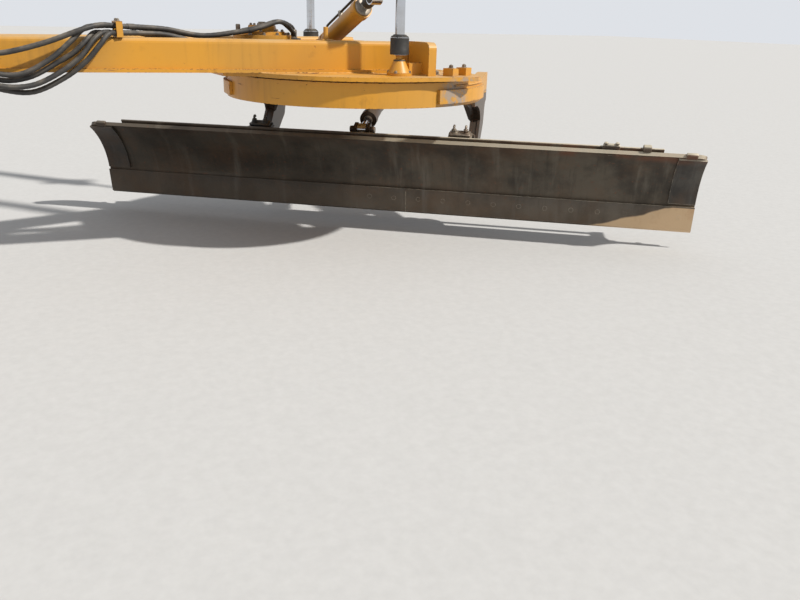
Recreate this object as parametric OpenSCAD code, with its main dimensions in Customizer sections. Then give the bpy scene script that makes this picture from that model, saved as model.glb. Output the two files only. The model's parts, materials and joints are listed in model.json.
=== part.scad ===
// Motor grader blade group: drawbar, circle and moldboard with their cylinders.
// Millimetres. Origin at the centre of the drawbar's hitch ball, +X to the rear of the
// machine, +Y to its right, +Z up. The blade is turned, tipped forward and side-shifted.

/* [Rest pose] */
// Turn of the circle from square across the machine, in degrees
blade_angle = 50; // [0:1:90]
// Forward tip of the moldboard from upright, in degrees
blade_tip = 24; // [-5:1:40]
// Side shift of the moldboard towards its left end
side_shift = 130; // [0:10:500]

/* [Hitch] */
// Diameter of the hitch ball
ball_d = 130; // [90:5:170]
// Diameter of the ball's bolted flange
ball_flange_d = 190; // [150:5:240]
// Thickness of the ball's bolted flange
ball_flange_t = 28; // [18:1:40]

/* [Drawbar] */
// Height of a drawbar beam
beam_h = 155; // [120:5:200]
// Width of a drawbar beam
beam_w = 110; // [80:5:140]
// Wall of a drawbar beam
beam_wall = 14; // [8:1:22]
// Angle of each beam from the centre line, in degrees
beam_angle = 9.5; // [7:0.1:11]
// Half width over the beams at the nose
nose_half = 110; // [95:1:130]
// Length from the ball to the front of the beams
nose_len = 480; // [400:10:560]
// Distance from the ball to the circle's centre
circle_x = 2330; // [2200:10:2500]
// Height of the beams' underside below the ball
beam_drop = 65; // [40:5:90]
// Thickness of the deck plate
deck_t = 20; // [14:1:30]
// Length of the deck behind the circle's centre
deck_rear = 375; // [370:5:430]
// Overhang of the deck outside the circle
deck_lip = 32; // [25:1:50]

/* [Circle] */
// Outer diameter of the circle
ring_d = 1424; // [1400:2:1480]
// Height of the circle's outer skirt
ring_h = 120; // [90:5:150]
// Wall of the circle's skirt
ring_wall = 30; // [20:1:34]
// Gap between deck plate and circle
ring_gap = 8; // [6:1:20]
// Teeth of the circle
ring_teeth = 64; // [64:1:64]
// Teeth of the drive pinion
pinion_teeth = 10; // [10:1:10]
// Module of the circle's teeth
tooth_module = 20; // [19.5:0.1:20.4]
// Height of the toothed flange
tooth_h = 60; // [40:5:80]

/* [Arms] */
// Distance of each arm from the blade's centre
arm_y = 657; // [645:1:668]
// Thickness of an arm across the blade
arm_t = 60; // [52:2:72]
// Thickness of an arm's side plates
arm_plate = 16; // [12:1:22]
// Diameter of the tip pins
tip_pin_d = 50; // [40:1:60]
// Tip pivot behind the circle's centre
tip_back = 230; // [200:5:250]
// Tip pivot below the circle
tip_below = 417; // [400:1:450]

/* [Moldboard] */
// Length of the moldboard
blade_len = 3658; // [3000:1:4300]
// Thickness of the moldboard plate
blade_t = 22; // [16:1:30]
// Radius of the moldboard's front face
blade_r = 413; // [390:1:450]
// Chord of the curved part
blade_chord = 355; // [345:1:400]
// Width of the cutting edge
edge_w = 158; // [140:1:175]
// Thickness of the cutting edge
edge_t = 16; // [12:1:22]
// Offset of the joint between the cutting edges towards the left end
edge_joint = 150; // [0:10:300]
// Overhang of the cutting edge below the moldboard
edge_drop = 50; // [30:1:70]
// Width of the wear plate at each end
overlay_w = 150; // [120:5:260]
// Thickness of the end wear plates
overlay_t = 10; // [6:1:14]
// Thickness of the slide rails
rail_t = 24; // [16:1:30]
// Distance that the rails stop short of each end
rail_short = 250; // [150:10:300]
// Radius of the moldboard's upper corners
corner_r = 34; // [10:1:60]

/* [Cylinders] */
// Diameter of a lift rod
lift_rod_d = 48; // [42:1:56]
// Bore of a lift cylinder
lift_bore = 100; // [85:1:120]
// Stroke of a lift cylinder
lift_stroke = 1100; // [900:10:1300]
// Lift rod showing at rest
lift_out = 760; // [300:10:880]
// Distance of each lift ball from the centre line
lift_y = 575; // [560:5:620]
// Bore of the tip cylinder
tip_bore = 80; // [70:1:90]
// Diameter of the tip rod
tip_rod_d = 45; // [35:1:55]
// Bore of the side shift cylinder
slide_bore = 75; // [65:1:85]
// Diameter of the side shift rod
slide_rod_d = 45; // [35:1:50]
// Bore of the centre shift cylinder
centre_bore = 76; // [65:1:90]
// Diameter of the centre shift rod
centre_rod_d = 45; // [35:1:55]

/* [Hoses] */
// Outer diameter of a hose
hose_d = 24; // [18:1:25]

/* [Hidden] */

$fn = 64;
fit = 0.05;            // radial clearance of pins, rods and pistons
seat = 0.3;            // clearance of sliding seats
weld = 0.1;            // clearance of curved faces that are welded together

// Paint, steel and rubber
paint = [0.85, 0.60, 0.20];
steel = [0.45, 0.42, 0.38];
worn = [0.34, 0.27, 0.21];
black = [0.10, 0.10, 0.10];
bronze = [0.65, 0.50, 0.30];
chromed = [0.75, 0.76, 0.78];

// Heights under the ball
beam_z0 = -beam_drop;
beam_z1 = beam_z0 + beam_h;
deck_z0 = beam_z0 - deck_t;
ring_z1 = deck_z0 - ring_gap;
ring_z0 = ring_z1 - ring_h;
ring_ro = ring_d / 2;
tooth_z0 = ring_z1 - tooth_h;

// Circle drive
pitch_r = ring_teeth * tooth_module / 2;
pinion_r = pinion_teeth * tooth_module / 2;
pinion_x = circle_x - (pitch_r - pinion_r);
tip_r = pitch_r - 0.9 * tooth_module;
root_r = pitch_r + 1.15 * tooth_module;
pressure = 25;
gearbox_z = 106;       // top of the gearbox's wide flange
gearbox_r = 150;
motor_x = 108;         // face of the motor's flange from the pinion's axis
port_z = 90;           // top of the motor's port block

// Moldboard section: cutting edge flat, then an arc tangent to it
arc_half = asin(blade_chord / 2 / blade_r);
seam_p = edge_w * sin(arc_half);
seam_w = edge_w * cos(arc_half);
section_lean = atan(seam_p / (seam_w + blade_chord));
blade_h = sqrt(pow(seam_p, 2) + pow(seam_w + blade_chord, 2));
arc_cx = seam_p - blade_r * cos(arc_half);
arc_cz = seam_w + blade_chord / 2;
arc_p = arc_cx * cos(section_lean) - arc_cz * sin(section_lean);
arc_w = arc_cx * sin(section_lean) + arc_cz * cos(section_lean);
back_r = blade_r + blade_t;
function back_p(w) = arc_p + sqrt(pow(back_r, 2) - pow(w - arc_w, 2));

// Tip pivot and slide rails in the moldboard's own section, p to the rear and w up
pivot_p = back_p(arc_w) + 66;
pivot_w = blade_h / 2 - 2;
top_rail_w1 = blade_h - 48;
top_rail_w0 = top_rail_w1 - 66;
top_rail_p0 = back_p(top_rail_w1 - 30) + 22;
top_rail_p1 = top_rail_p0 + rail_t;
low_rail_w0 = 95;
low_rail_w1 = 172;
low_rail_p0 = back_p(low_rail_w1) + 38;
low_rail_p1 = low_rail_p0 + rail_t;
rail_len = blade_len - 2 * rail_short;
ledge_t = 22;
strip_t = 5;
lip_t = 11;
lip_h = 36;
slab_t = 24;
bracket_t = 22;
bracket_gap = 8;
bracket_in = arm_t / 2 + bracket_gap;
bracket_out = bracket_in + bracket_t;
plate_p0 = top_rail_p1 + strip_t + 3;
boss_r = tip_pin_d / 2 + 25;
tip_pin_len = 2 * bracket_out + 30;

// Tip cylinder
clevis_p = pivot_p + 40;
clevis_w = pivot_w + 200;
clevis_pin_d = 40;
clevis_eye_w = 50;
anchor_x = 665;
anchor_z = ring_z0 - 80;
tip_barrel_len = 352;

// Side shift cylinder, along the blade between the rails
slide_p = pivot_p + 62;
slide_w = pivot_w - 100;
slide_collar = slide_bore / 2 + 14;
slide_y0 = -(arm_y + bracket_out + 20);
slide_barrel_len = -2 * slide_y0;
slide_lug_y = -blade_len / 2 + 190;
slide_rod_len = 1700;

// Lift cylinders
lift_x = circle_x - 30;
lift_ball_d = 66;
lift_ball_z = 56;
lift_cap_d = 92;
lift_plate_x = lift_x + 145;
lift_plate_t = 44;
lift_plate_y = lift_y + 80;
lift_head = 60;
lift_piston = 60;
lift_od = lift_bore + 25;
lift_barrel_len = lift_stroke + 2 * lift_head + lift_piston;
lift_min = 300;         // rod still showing when the cylinder is closed
lift_in = lift_stroke - lift_out + lift_min;

// Centre shift cylinder
centre_x = circle_x - 140;
centre_y = 140;
centre_z = 45;
centre_rise = 21.5;
centre_barrel_len = 560;
centre_out = 100;
centre_pin_d = 35;

// Hoses: x, y and z of each bend, from the bulkhead over the left beam to a port
HOSE_ROUTES = [
    [[336, -150, 30], [430, -168, 22], [542, -196, 20], [711, -214, 62], [876, -226, 122],
     [960, -200, 142], [1040, -168, 138], [1160, -122, 134], [1280, -96, 126], [1450, -108, 100],
     [1640, -130, 122], [1740, -138, 144], [1838, -132, 172], [1900, -96, 146], [1953, -32, 114],
     [1956, -20, 90]],
    [[336, -186, 10], [430, -202, -30], [530, -216, -68], [623, -222, -62], [735, -222, -2],
     [824, -216, 70], [890, -192, 126], [960, -164, 138], [1040, -137, 138], [1160, -90, 130],
     [1280, -62, 120], [1450, -76, 98], [1640, -98, 122], [1740, -106, 144], [1838, -100, 172],
     [1928, -48, 152], [1973, 12, 118], [1976, 20, 90]],
    [[336, -150, -12], [430, -168, -52], [530, -190, -95], [640, -196, -82], [745, -198, -30],
     [835, -208, 24], [888, -208, 72], [930, -176, 106], [975, -142, 108], [1040, -122, 107],
     [1160, -78, 104], [1280, -52, 70], [1450, -78, 50], [1640, -112, 45], [1790, -128, 45],
     [1950, -134, 38], [2060, -85, 14], [2150, 22, -8], [2250, 34, -12]],
    [[336, -186, -32], [430, -206, -78], [530, -224, -118], [650, -224, -114], [770, -226, -58],
     [860, -228, 8], [925, -214, 80], [975, -182, 110], [1040, -153, 107], [1160, -109, 106],
     [1280, -84, 92], [1450, -109, 54], [1640, -143, 45], [1790, -160, 45], [1950, -166, 38],
     [2060, -125, -8], [2150, -20, -26], [2250, 0, -12]],
    [[336, -150, -54], [430, -168, -100], [530, -190, -136], [650, -194, -146], [785, -198, -86],
     [880, -222, -14], [945, -236, 58], [990, -218, 104], [1040, -185, 107], [1160, -140, 107],
     [1280, -117, 100], [1450, -140, 58], [1640, -174, 45], [1790, -192, 45], [1950, -198, 38],
     [2060, -165, -30], [2150, -62, -42], [2250, -34, -12]]
];
hose_sides = 8;
bulkhead_x = HOSE_ROUTES[0][0][0];
clamp_x = 1040;
motor_hoses = 2;        // the first routes end on the motor, the others on the swivel

// Places along the parts
module at_circle() {
    translate([circle_x, 0, 0]) rotate([0, 0, blade_angle]) children();
}

module at_blade(shift = 0) {
    at_circle()
        translate([tip_back, 0, ring_z0 - tip_below])
            rotate([0, -blade_tip, 0])
                translate([-pivot_p, shift, -pivot_w])
                    children();
}

module both_sides() {
    for (s = [-1, 1]) mirror([0, s > 0 ? 0 : 1, 0]) children();
}

module side(s) {
    mirror([0, s > 0 ? 0 : 1, 0]) children();
}

module xz_plate(points, t, y = 0) {
    translate([0, y, 0]) rotate([90, 0, 0]) linear_extrude(t, center = true) polygon(points);
}

module y_rod(r, l, x = 0, z = 0, y = 0) {
    translate([x, y, z]) rotate([90, 0, 0]) cylinder(h = l, r = r, center = true);
}

module x_rod(r, l, x = 0, y = 0, z = 0) {
    translate([x, y, z]) rotate([0, 90, 0]) cylinder(h = l, r = r, center = true);
}

module block(x, y, z) {
    translate([x[0], y[0], z[0]]) cube([x[1] - x[0], y[1] - y[0], z[1] - z[0]]);
}

// Hitch ball with its neck and bolted flange
module hitch_ball() {
    color(steel) difference() {
        union() {
            sphere(d = ball_d);
            x_rod(ball_d * 0.3, 110, 55);
            x_rod(ball_flange_d / 2, ball_flange_t, 110 + ball_flange_t / 2);
        }
        for (a = [30:60:330])
            rotate([a, 0, 0]) x_rod(9, 200, 110 + ball_flange_t / 2, 0, ball_flange_d / 2 - 20);
    }
}

nose_x0 = 110 + ball_flange_t;

module drawbar_nose() {
    color(paint) intersection() {
        translate([0, 0, -200]) linear_extrude(400)
            polygon([[nose_x0, -88], [nose_x0 + 40, -92], [nose_len, -nose_half],
                     [nose_len, nose_half], [nose_x0 + 40, 92], [nose_x0, 88]]);
        xz_plate([[nose_x0, -92], [nose_len, beam_z0 - 10], [nose_len, beam_z1],
                  [nose_x0 + 50, 105], [nose_x0, 95]], 400);
    }
}

// Box beam: formed top corners and a wider bottom flange
module beam_section(inset) {
    w = beam_w / 2 - inset;
    r = 22 - inset * 0.7;
    z0 = beam_z0 + (inset > 0 ? inset : 0);
    z1 = beam_z1 - inset;
    polygon(concat(
        [[-w, z0], [w, z0]],
        [for (a = [0:22.5:90]) [w - r + r * cos(a), z1 - r + r * sin(a)]],
        [for (a = [90:22.5:180]) [-w + r + r * cos(a), z1 - r + r * sin(a)]]));
}

bar_x = lift_plate_x + lift_plate_t / 2 + 10;
bar_len = 80;
bar_wall = 14;
beam_len = (bar_x - nose_len) / cos(beam_angle) + beam_w;
function beam_out(x) = nose_half + (x - nose_len) * tan(beam_angle);
foot_out = 14;
foot_t = 16;

module drawbar_beam(s) {
    color(paint) side(s) difference() {
        translate([nose_len, nose_half, 0]) rotate([0, 0, beam_angle])
            translate([0, -beam_w / 2, 0]) rotate([90, 0, 90]) difference() {
                translate([0, 0, -beam_w]) linear_extrude(beam_len + beam_w) union() {
                    beam_section(0);
                    translate([-beam_w / 2 - foot_out, beam_z0]) square([beam_w + 2 * foot_out, foot_t]);
                }
                translate([0, 0, 40]) linear_extrude(beam_len - beam_w - 60) beam_section(beam_wall);
            }
        block([0, 5000], [-500, 0], [-500, 500]);
        block([0, nose_len], [-500, 500], [-500, 500]);
        block([bar_x, 5000], [-500, 900], [-500, 500]);
    }
}

// Rear crossbeam, an open channel between the ends of the beams
module drawbar_crossbeam() {
    out = beam_out(bar_x) + foot_out;
    color(paint) difference() {
        block([bar_x, bar_x + bar_len], [-out, out], [beam_z0, beam_z1 - 20]);
        block([bar_x + bar_wall, bar_x + bar_len - bar_wall], [-out + bar_wall, out - bar_wall],
              [beam_z0 - 1, beam_z1 - 20 - bar_wall]);
    }
}

// Deck outline: straight under the beams, then round with the circle, then straight to the rear
deck_r = ring_ro + deck_lip;
deck_front = 80;
deck_edge = concat(
    [[-deck_r - deck_front, 225]],
    [for (a = [157:-6.7:90]) [deck_r * cos(a), deck_r * sin(a)]],
    [[0, deck_r], [deck_rear - 40, deck_r], [deck_rear, deck_r - 40]]);
shoe_angles = [66, 155, 205, 294];
shoe_y = 45;
pad_r = ring_ro - 22;
pad_h = 38;

module shoe_bolts(r, h) {
    for (a = shoe_angles)
        translate([circle_x, 0, 0]) rotate([0, 0, a])
            for (b = [-1, 1]) translate([tip_r - 32, b * shoe_y, 0])
                cylinder(h = h, r = r, center = true);
}

module deck_plate() {
    n = len(deck_edge);
    color(paint) difference() {
        translate([circle_x, 0, deck_z0]) linear_extrude(deck_t)
            polygon(concat(deck_edge, [for (i = [n - 1:-1:0]) [deck_edge[i][0], -deck_edge[i][1]]]));
        translate([circle_x, 0, 0]) cylinder(h = 500, r = 72, center = true);
        translate([pinion_x, 0, 0]) cylinder(h = 500, r = 70, center = true);
        shoe_bolts(11, 500);
    }
}

// Tall curved gusset across the deck, and the conical seat of the lift cylinder's ball before it
module lift_bracket(s) {
    top = beam_z1 + 5;
    round = 34;
    inner = beam_out(lift_plate_x) + foot_out;
    color(paint) side(s) difference() {
        union() {
            translate([lift_plate_x, 0, 0]) rotate([90, 0, 90])
                translate([0, 0, -lift_plate_t / 2]) linear_extrude(lift_plate_t)
                    polygon(concat(
                        [[inner - 30, beam_z0], [lift_plate_y, beam_z0]],
                        [for (a = [0:15:90])
                            [lift_plate_y - round + round * cos(a), top - round + round * sin(a)]],
                        [[inner - 30, top]]));
            translate([lift_x, lift_y, beam_z0]) cylinder(h = 14, r = 62);
            translate([lift_x, lift_y, beam_z0 + 14]) cylinder(h = 64, r1 = 56, r2 = 25);
            translate([lift_x, lift_y, beam_z0 + 70]) cylinder(h = lift_ball_z - beam_z0 - 70, r = 17);
            translate([lift_x, lift_y, lift_ball_z]) sphere(d = lift_ball_d);
            block([lift_x + 50, lift_plate_x - lift_plate_t / 2 + 1], [lift_y - 14, lift_y + 14],
                  [beam_z0, beam_z0 + 60]);
        }
        linear_extrude(2000, center = true)
            polygon([[nose_len, 0], [4000, 0], [4000, beam_out(4000) + foot_out / cos(beam_angle) + seat],
                     [nose_len, nose_half + foot_out / cos(beam_angle) + seat]]);
    }
}

// Guide shoes: each hangs from the deck inside the teeth and hooks under the toothed flange.
// The rear pair has two clamping pads on the deck.
module circle_shoes() {
    color(steel) translate([circle_x, 0, 0]) difference() {
        union() {
            for (a = shoe_angles) rotate([0, 0, a]) {
                intersection() {
                    block([tip_r - 72, tip_r + 20], [-80, 80], [tooth_z0 - 45, deck_z0]);
                    translate([0, 0, -500]) cylinder(h = 500, r = tip_r - 1, $fn = 360);
                }
                intersection() {
                    block([tip_r - 72, root_r + 20], [-80, 80], [tooth_z0 - 45, tooth_z0 - seat]);
                    translate([0, 0, -500]) cylinder(h = 500, r = root_r - 14, $fn = 360);
                }
            }
            for (a = [shoe_angles[0], shoe_angles[3]], b = [-1, 1]) rotate([0, 0, a])
                block([pad_r - 30, pad_r + 30], [b * 60 - 26, b * 60 + 26], [beam_z0, beam_z0 + pad_h]);
        }
        translate([-circle_x, 0, 0]) shoe_bolts(11, 900);
    }
}

// Two cheeks and the pin of the centre shift cylinder
module centre_bracket() {
    cheek_x = 42;
    cheek_t = 20;
    foot = 16;
    color(paint) union() {
        for (b = [-1, 1])
            translate([centre_x + b * cheek_x, centre_y, 0]) rotate([90, 0, 90])
                translate([0, 0, -cheek_t / 2]) linear_extrude(cheek_t)
                    polygon([[-55, beam_z0], [60, beam_z0], [40, centre_z], [20, centre_z + 32],
                             [-20, centre_z + 32], [-36, centre_z]]);
        block([centre_x - 54, centre_x + 54], [centre_y - 58, centre_y + 62], [beam_z0, beam_z0 + foot]);
        x_rod(centre_pin_d / 2, 124, centre_x, centre_y, centre_z);
    }
}

// Worm gearbox of the circle drive on the deck
module drive_gearbox() {
    color(paint) translate([pinion_x, 0, 0]) difference() {
        union() {
            translate([0, 0, beam_z0]) cylinder(h = gearbox_z - beam_z0 - 24, r = 98);
            translate([0, 0, gearbox_z - 24]) cylinder(h = 24, r = gearbox_r);
            translate([0, 0, gearbox_z]) cylinder(h = 16, r = 118);
            translate([0, 0, gearbox_z + 16]) cylinder(h = 30, r1 = 78, r2 = 70);
            block([0, motor_x], [-60, 60], [beam_z0 + 20, gearbox_z - 24]);
        }
        translate([0, 0, beam_z0 - 1]) cylinder(h = 61, r = 40 + fit);
    }
}

module drive_motor() {
    color(black) translate([pinion_x, 0, 20]) {
        x_rod(62, 24, motor_x + 12);
        x_rod(50, 80, motor_x + 24 + 40);
        block([motor_x + 44, motor_x + 92], [-40, 40], [30, port_z - 20]);
    }
}

// Swivel that carries the oil down through the circle, with three ports for the hoses
swivel_ports = [-34, 0, 34];
swivel_z = -12;
module hydraulic_swivel() {
    color(steel) translate([circle_x, 0, 0]) {
        translate([0, 0, beam_z0]) cylinder(h = 20, r = 80);
        translate([0, 0, deck_z0]) cylinder(h = deck_t, r = 70);
        translate([0, 0, beam_z0 + 20]) cylinder(h = 60, r = 52);
        for (y = swivel_ports) x_rod(hose_d / 2 - 1, 60, -50, y, swivel_z);
    }
}

// Involute tooth form on a pitch circle, with the tooth's half angle widened by extra
function inv(a) = tan(a) * 180 / PI - a;
function half_tooth(n, pr, r) =
    let (base = pr * cos(pressure), rr = max(r, base))
    90 / n + inv(pressure) - inv(acos(base / rr));

function gear_outline(n, pr, r0, r1, extra) = [
    for (i = [0:n - 1])
        for (q = [[-1, 0], [-1, 0.34], [-1, 0.67], [-1, 1], [1, 1], [1, 0.67], [1, 0.34], [1, 0]])
            let (r = r0 + (r1 - r0) * q[1],
                 a = 360 * i / n + q[0] * (half_tooth(n, pr, r) + extra / pr * 180 / PI))
            [r * cos(a), r * sin(a)]
];

function unit(v) = v / norm(v);
function bend_dir(p, i, last) =
    i == 0 ? [1, 0, 0] : i == len(p) - 1 ? last : unit(p[i + 1] - p[i - 1]);

// A tube of eight sides with one ring at each bend, square to the route there
module hose(p, last) {
    n = hose_sides;
    r = hose_d / 2;
    rings = [for (i = [0:len(p) - 1])
        let (t = bend_dir(p, i, last), u = unit(cross([0, 1, 0], t)), v = cross(t, u))
        for (k = [0:n - 1]) p[i] + r * (cos(360 * k / n) * u + sin(360 * k / n) * v)];
    walls = [for (i = [0:len(p) - 2], k = [0:n - 1])
        [i * n + k, (i + 1) * n + k, (i + 1) * n + (k + 1) % n, i * n + (k + 1) % n]];
    ends = [[for (k = [0:n - 1]) k], [for (k = [n - 1:-1:0]) (len(p) - 1) * n + k]];
    polyhedron(points = rings, faces = concat(walls, ends));
}

module front_hoses() {
    color(black) for (i = [0:len(HOSE_ROUTES) - 1])
        hose(HOSE_ROUTES[i], i < motor_hoses ? [0, 0, -1] : [1, 0, 0]);
}

// Bulkhead beside the nose and the clamp on the left beam
module hose_clamps() {
    t = 6;
    y0 = -214;
    y1 = -99;
    top = 154;
    head_t = 12;
    head_y = [-206, -101.8];
    head_z = [-76, 48];
    color(paint) {
        block([bulkhead_x - head_t, bulkhead_x], head_y, head_z);
        difference() {
            block([clamp_x - 14, clamp_x + 14], [y0, y1], [beam_z1, top + t]);
            block([clamp_x - 15, clamp_x + 15], [y0 + t, y1 - t], [beam_z1 + 4, top]);
        }
    }
}

module drive_pinion() {
    color(steel) translate([pinion_x, 0, 0]) {
        translate([0, 0, tooth_z0]) rotate([0, 0, 180]) linear_extrude(tooth_h - 6)
            polygon(gear_outline(pinion_teeth, pinion_r, pinion_r - 1.1 * tooth_module,
                                 pinion_r + 0.85 * tooth_module, -0.6));
        translate([0, 0, tooth_z0 + tooth_h - 6])
            cylinder(h = beam_z0 + 55 - tooth_z0 - tooth_h + 6, r = 40);
    }
}

module circle_ring() {
    color(paint) translate([circle_x, 0, 0]) {
        difference() {
            translate([0, 0, ring_z0]) cylinder(h = ring_h, r = ring_ro, $fn = 180);
            translate([0, 0, ring_z0 - 1]) cylinder(h = ring_h - tooth_h + 1, r = ring_ro - ring_wall, $fn = 180);
            translate([0, 0, tooth_z0 - 2]) rotate([0, 0, 180]) linear_extrude(tooth_h + 4)
                polygon(gear_outline(ring_teeth, pitch_r, tip_r, root_r, 0.6));
        }
    }
}

// Arm: a plate tangent to the skirt whose waisted leg reaches down and forward to the tip pivot.
// Its outline: the front flare, the leg, the boss, the leg's back and the rear flare.
arm_pz = ring_z0 - tip_below;
arm_front = 20;
arm_rear = 660;
waist_front = 380;
waist_rear = 580;
waist_drop = 150;
arm_lip = 8;
function arm_outline(grow) = concat(
    [[arm_front - grow, ring_z0]],
    [for (a = [90:-15:0]) [arm_front + (waist_front - arm_front - grow) * cos(a),
                           ring_z0 - waist_drop + (waist_drop - 30 - grow) * sin(a)]],
    [for (a = [151:23.4:385]) [tip_back + (boss_r + grow) * cos(a), arm_pz + (boss_r + grow) * sin(a)]],
    [[tip_back + 190 + grow, arm_pz + 130 - grow], [waist_rear - 24 + grow, ring_z0 - waist_drop - 44]],
    [for (a = [180:-15:90]) [arm_rear + (waist_rear - arm_rear + grow) * -cos(a),
                             ring_z0 - waist_drop + 20 + (80 - grow) * sin(a)]],
    [[arm_rear + grow, ring_z0 - 50], [arm_rear + grow, ring_z0]]);

// Root of the arm beside the skirt and the pad that wraps round it
module arm_root() {
    y0 = arm_y - arm_t / 2;
    y1 = arm_y + arm_t / 2;
    pad_t = 18;
    intersection() {
        xz_plate([[120, ring_z0 - 1], [arm_rear + arm_lip, ring_z0 - 1], [arm_rear + arm_lip, ring_z1 - 8],
                  [arm_rear - 90, ring_z1 - 8], [300, ring_z1 - 24], [120, ring_z1 - 36]], 2 * y1);
        translate([0, y0, -1000]) cube([2000, y1 - y0, 2000]);
    }
    intersection() {
        cylinder(h = 2000, r = ring_ro + pad_t, center = true, $fn = 180);
        linear_extrude(2000, center = true)
            polygon([[0, 0], [-500, 600], [-500, 900], [260, 900], [260, 650]]);
        translate([-1000, 0, ring_z0 + 16]) cube([2000, 1000, ring_h - 52]);
    }
}

module circle_arm(s) {
    color(paint) at_circle() side(s) difference() {
        union() {
            xz_plate(arm_outline(0), arm_t - 2 * arm_plate, arm_y);
            for (b = [-1, 1])
                xz_plate(arm_outline(arm_lip), arm_plate, arm_y + b * (arm_t - arm_plate) / 2);
            difference() {
                arm_root();
                translate([0, 0, ring_z0]) cylinder(h = 2000, r = ring_ro + seat, $fn = 180);
            }
            y_rod(boss_r + 6, arm_t + 2 * bracket_gap - 2, tip_back, arm_pz, arm_y);
        }
        y_rod(tip_pin_d / 2 + fit, 400, tip_back, arm_pz, arm_y);
    }
}

// Bracket under the rear of the circle that carries the tip cylinder
anchor_drop = ring_z0 - anchor_z;
module tip_anchor() {
    back = ring_ro - anchor_x - 4;
    color(paint) at_circle() translate([anchor_x, 0, anchor_z]) union() {
        for (b = [-1, 1])
            xz_plate([[-74, anchor_drop - 20], [-40, 20], [-34, -20], [-18, -36], [20, -36], [36, -20],
                      [back, anchor_drop - 20]],
                     20, b * (clevis_eye_w / 2 + 12));
        block([-74, back - 20], [-60, 60], [anchor_drop - 22, anchor_drop]);
        y_rod(clevis_pin_d / 2, clevis_eye_w + 90);
    }
}

// Tilt bracket: an inner and an outer plate beside the arm, with the retainers of both rails
keep_in = -(bracket_in + 84);
keep_out = bracket_in - 8;
low_front = low_rail_p0 - strip_t - lip_t;
inner_plate = [
    [low_rail_p1 + strip_t + 3, low_rail_w0 - 33], [low_rail_p1 + strip_t + 46, low_rail_w0 - 33],
    [pivot_p + 52, low_rail_w0 + 60], [pivot_p + 58, pivot_w], [pivot_p + 40, pivot_w + 120],
    [top_rail_p1 + 66, top_rail_w1 + 30], [plate_p0, top_rail_w1 + 30], [plate_p0, top_rail_w0 - 20],
    [plate_p0 + 6, pivot_w + 90], [plate_p0 + 6, low_rail_w1 + 14],
    [low_rail_p1 + strip_t + 3, low_rail_w1 + 8]];
outer_plate = [
    [low_rail_p1 + strip_t + 3, low_rail_w0 - 33], [low_rail_p1 + strip_t + 46, low_rail_w0 - 33],
    [pivot_p + 52, low_rail_w0 + 60], [pivot_p + 58, pivot_w], [pivot_p + 42, pivot_w + 42],
    [pivot_p, pivot_w + 58], [plate_p0 + 10, pivot_w + 44], [plate_p0 + 6, low_rail_w1 + 14],
    [low_rail_p1 + strip_t + 3, low_rail_w1 + 8]];

module tilt_bracket(s) {
    top_w = top_rail_w1 + strip_t;
    low_w = low_rail_w0 - strip_t;
    keep_t = 22;
    top_front = top_rail_p0 - strip_t - lip_t;
    color(paint) at_blade() side(s) difference() {
        union() {
            xz_plate(inner_plate, bracket_t, arm_y - bracket_in - bracket_t / 2);
            xz_plate(outer_plate, bracket_t, arm_y + bracket_in + bracket_t / 2);
            for (b = [-1, 1])
                y_rod(slide_collar + 16, bracket_t, slide_p, slide_w, arm_y + b * (bracket_in + bracket_t / 2));
            translate([0, arm_y, 0]) {
                top_y = [keep_in, keep_out];
                block([top_front, top_rail_p1 + strip_t + keep_t], top_y, [top_w, top_w + slab_t]);
                block([top_front, top_front + lip_t], top_y, [top_w - lip_h, top_w + slab_t]);
                block([top_rail_p1 + strip_t, top_rail_p1 + strip_t + keep_t], top_y,
                      [top_rail_w0 - 6, top_w + slab_t]);
                low_y = [keep_in, bracket_out];
                block([low_front - 6, low_rail_p1 + strip_t + keep_t], low_y, [low_w - slab_t - 4, low_w]);
                block([low_front - 6, low_front + lip_t], low_y, [low_w - slab_t - 4, low_w + lip_h]);
                block([low_rail_p1 + strip_t, low_rail_p1 + strip_t + keep_t], low_y,
                      [low_w - slab_t - 4, low_rail_w1 + 4]);
            }
        }
        y_rod(tip_pin_d / 2 + fit, 2000, pivot_p, pivot_w, arm_y);
        y_rod(slide_collar + fit, 2000, slide_p, slide_w, arm_y);
    }
}

module wear_strips() {
    color(bronze) at_blade() both_sides() translate([0, arm_y, 0]) {
        y = [keep_in + 4, keep_out - 4];
        low_y = [keep_in + 4, bracket_out - 4];
        block([top_rail_p0 - strip_t, top_rail_p0 - seat], y, [top_rail_w1 - 30, top_rail_w1]);
        block([top_rail_p1 + seat, top_rail_p1 + strip_t], y, [top_rail_w0 + 10, top_rail_w1]);
        block([top_rail_p0, top_rail_p1], y, [top_rail_w1 + seat, top_rail_w1 + strip_t]);
        block([low_rail_p0 - strip_t, low_rail_p0 - seat], low_y, [low_rail_w0, low_rail_w0 + 30]);
        block([low_rail_p1 + seat, low_rail_p1 + strip_t], low_y, [low_rail_w0, low_rail_w1 - 6]);
        block([low_rail_p0, low_rail_p1], low_y, [low_rail_w0 - strip_t, low_rail_w0 - seat]);
    }
}

// Cross tube between the tilt brackets with the clevis of the tip cylinder
tube_p = pivot_p + 62;
tube_w = pivot_w + 40;
tube_r = 48;

module cross_tube() {
    color(paint) at_blade() {
        y_rod(tube_r, 2 * (arm_y - bracket_out), tube_p, tube_w);
        for (b = [-1, 1])
            xz_plate([[tube_p - 46, tube_w + 10], [tube_p + 40, tube_w + 10], [clevis_p + 42, clevis_w - 30],
                      [clevis_p + 30, clevis_w + 30], [clevis_p - 30, clevis_w + 30],
                      [clevis_p - 48, clevis_w - 40]], 22, b * (clevis_eye_w / 2 + 14));
        for (b = [-1, 1]) y_rod(clevis_pin_d / 2, 40, clevis_p, clevis_w, b * (clevis_eye_w / 2 + 24));
    }
}

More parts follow.
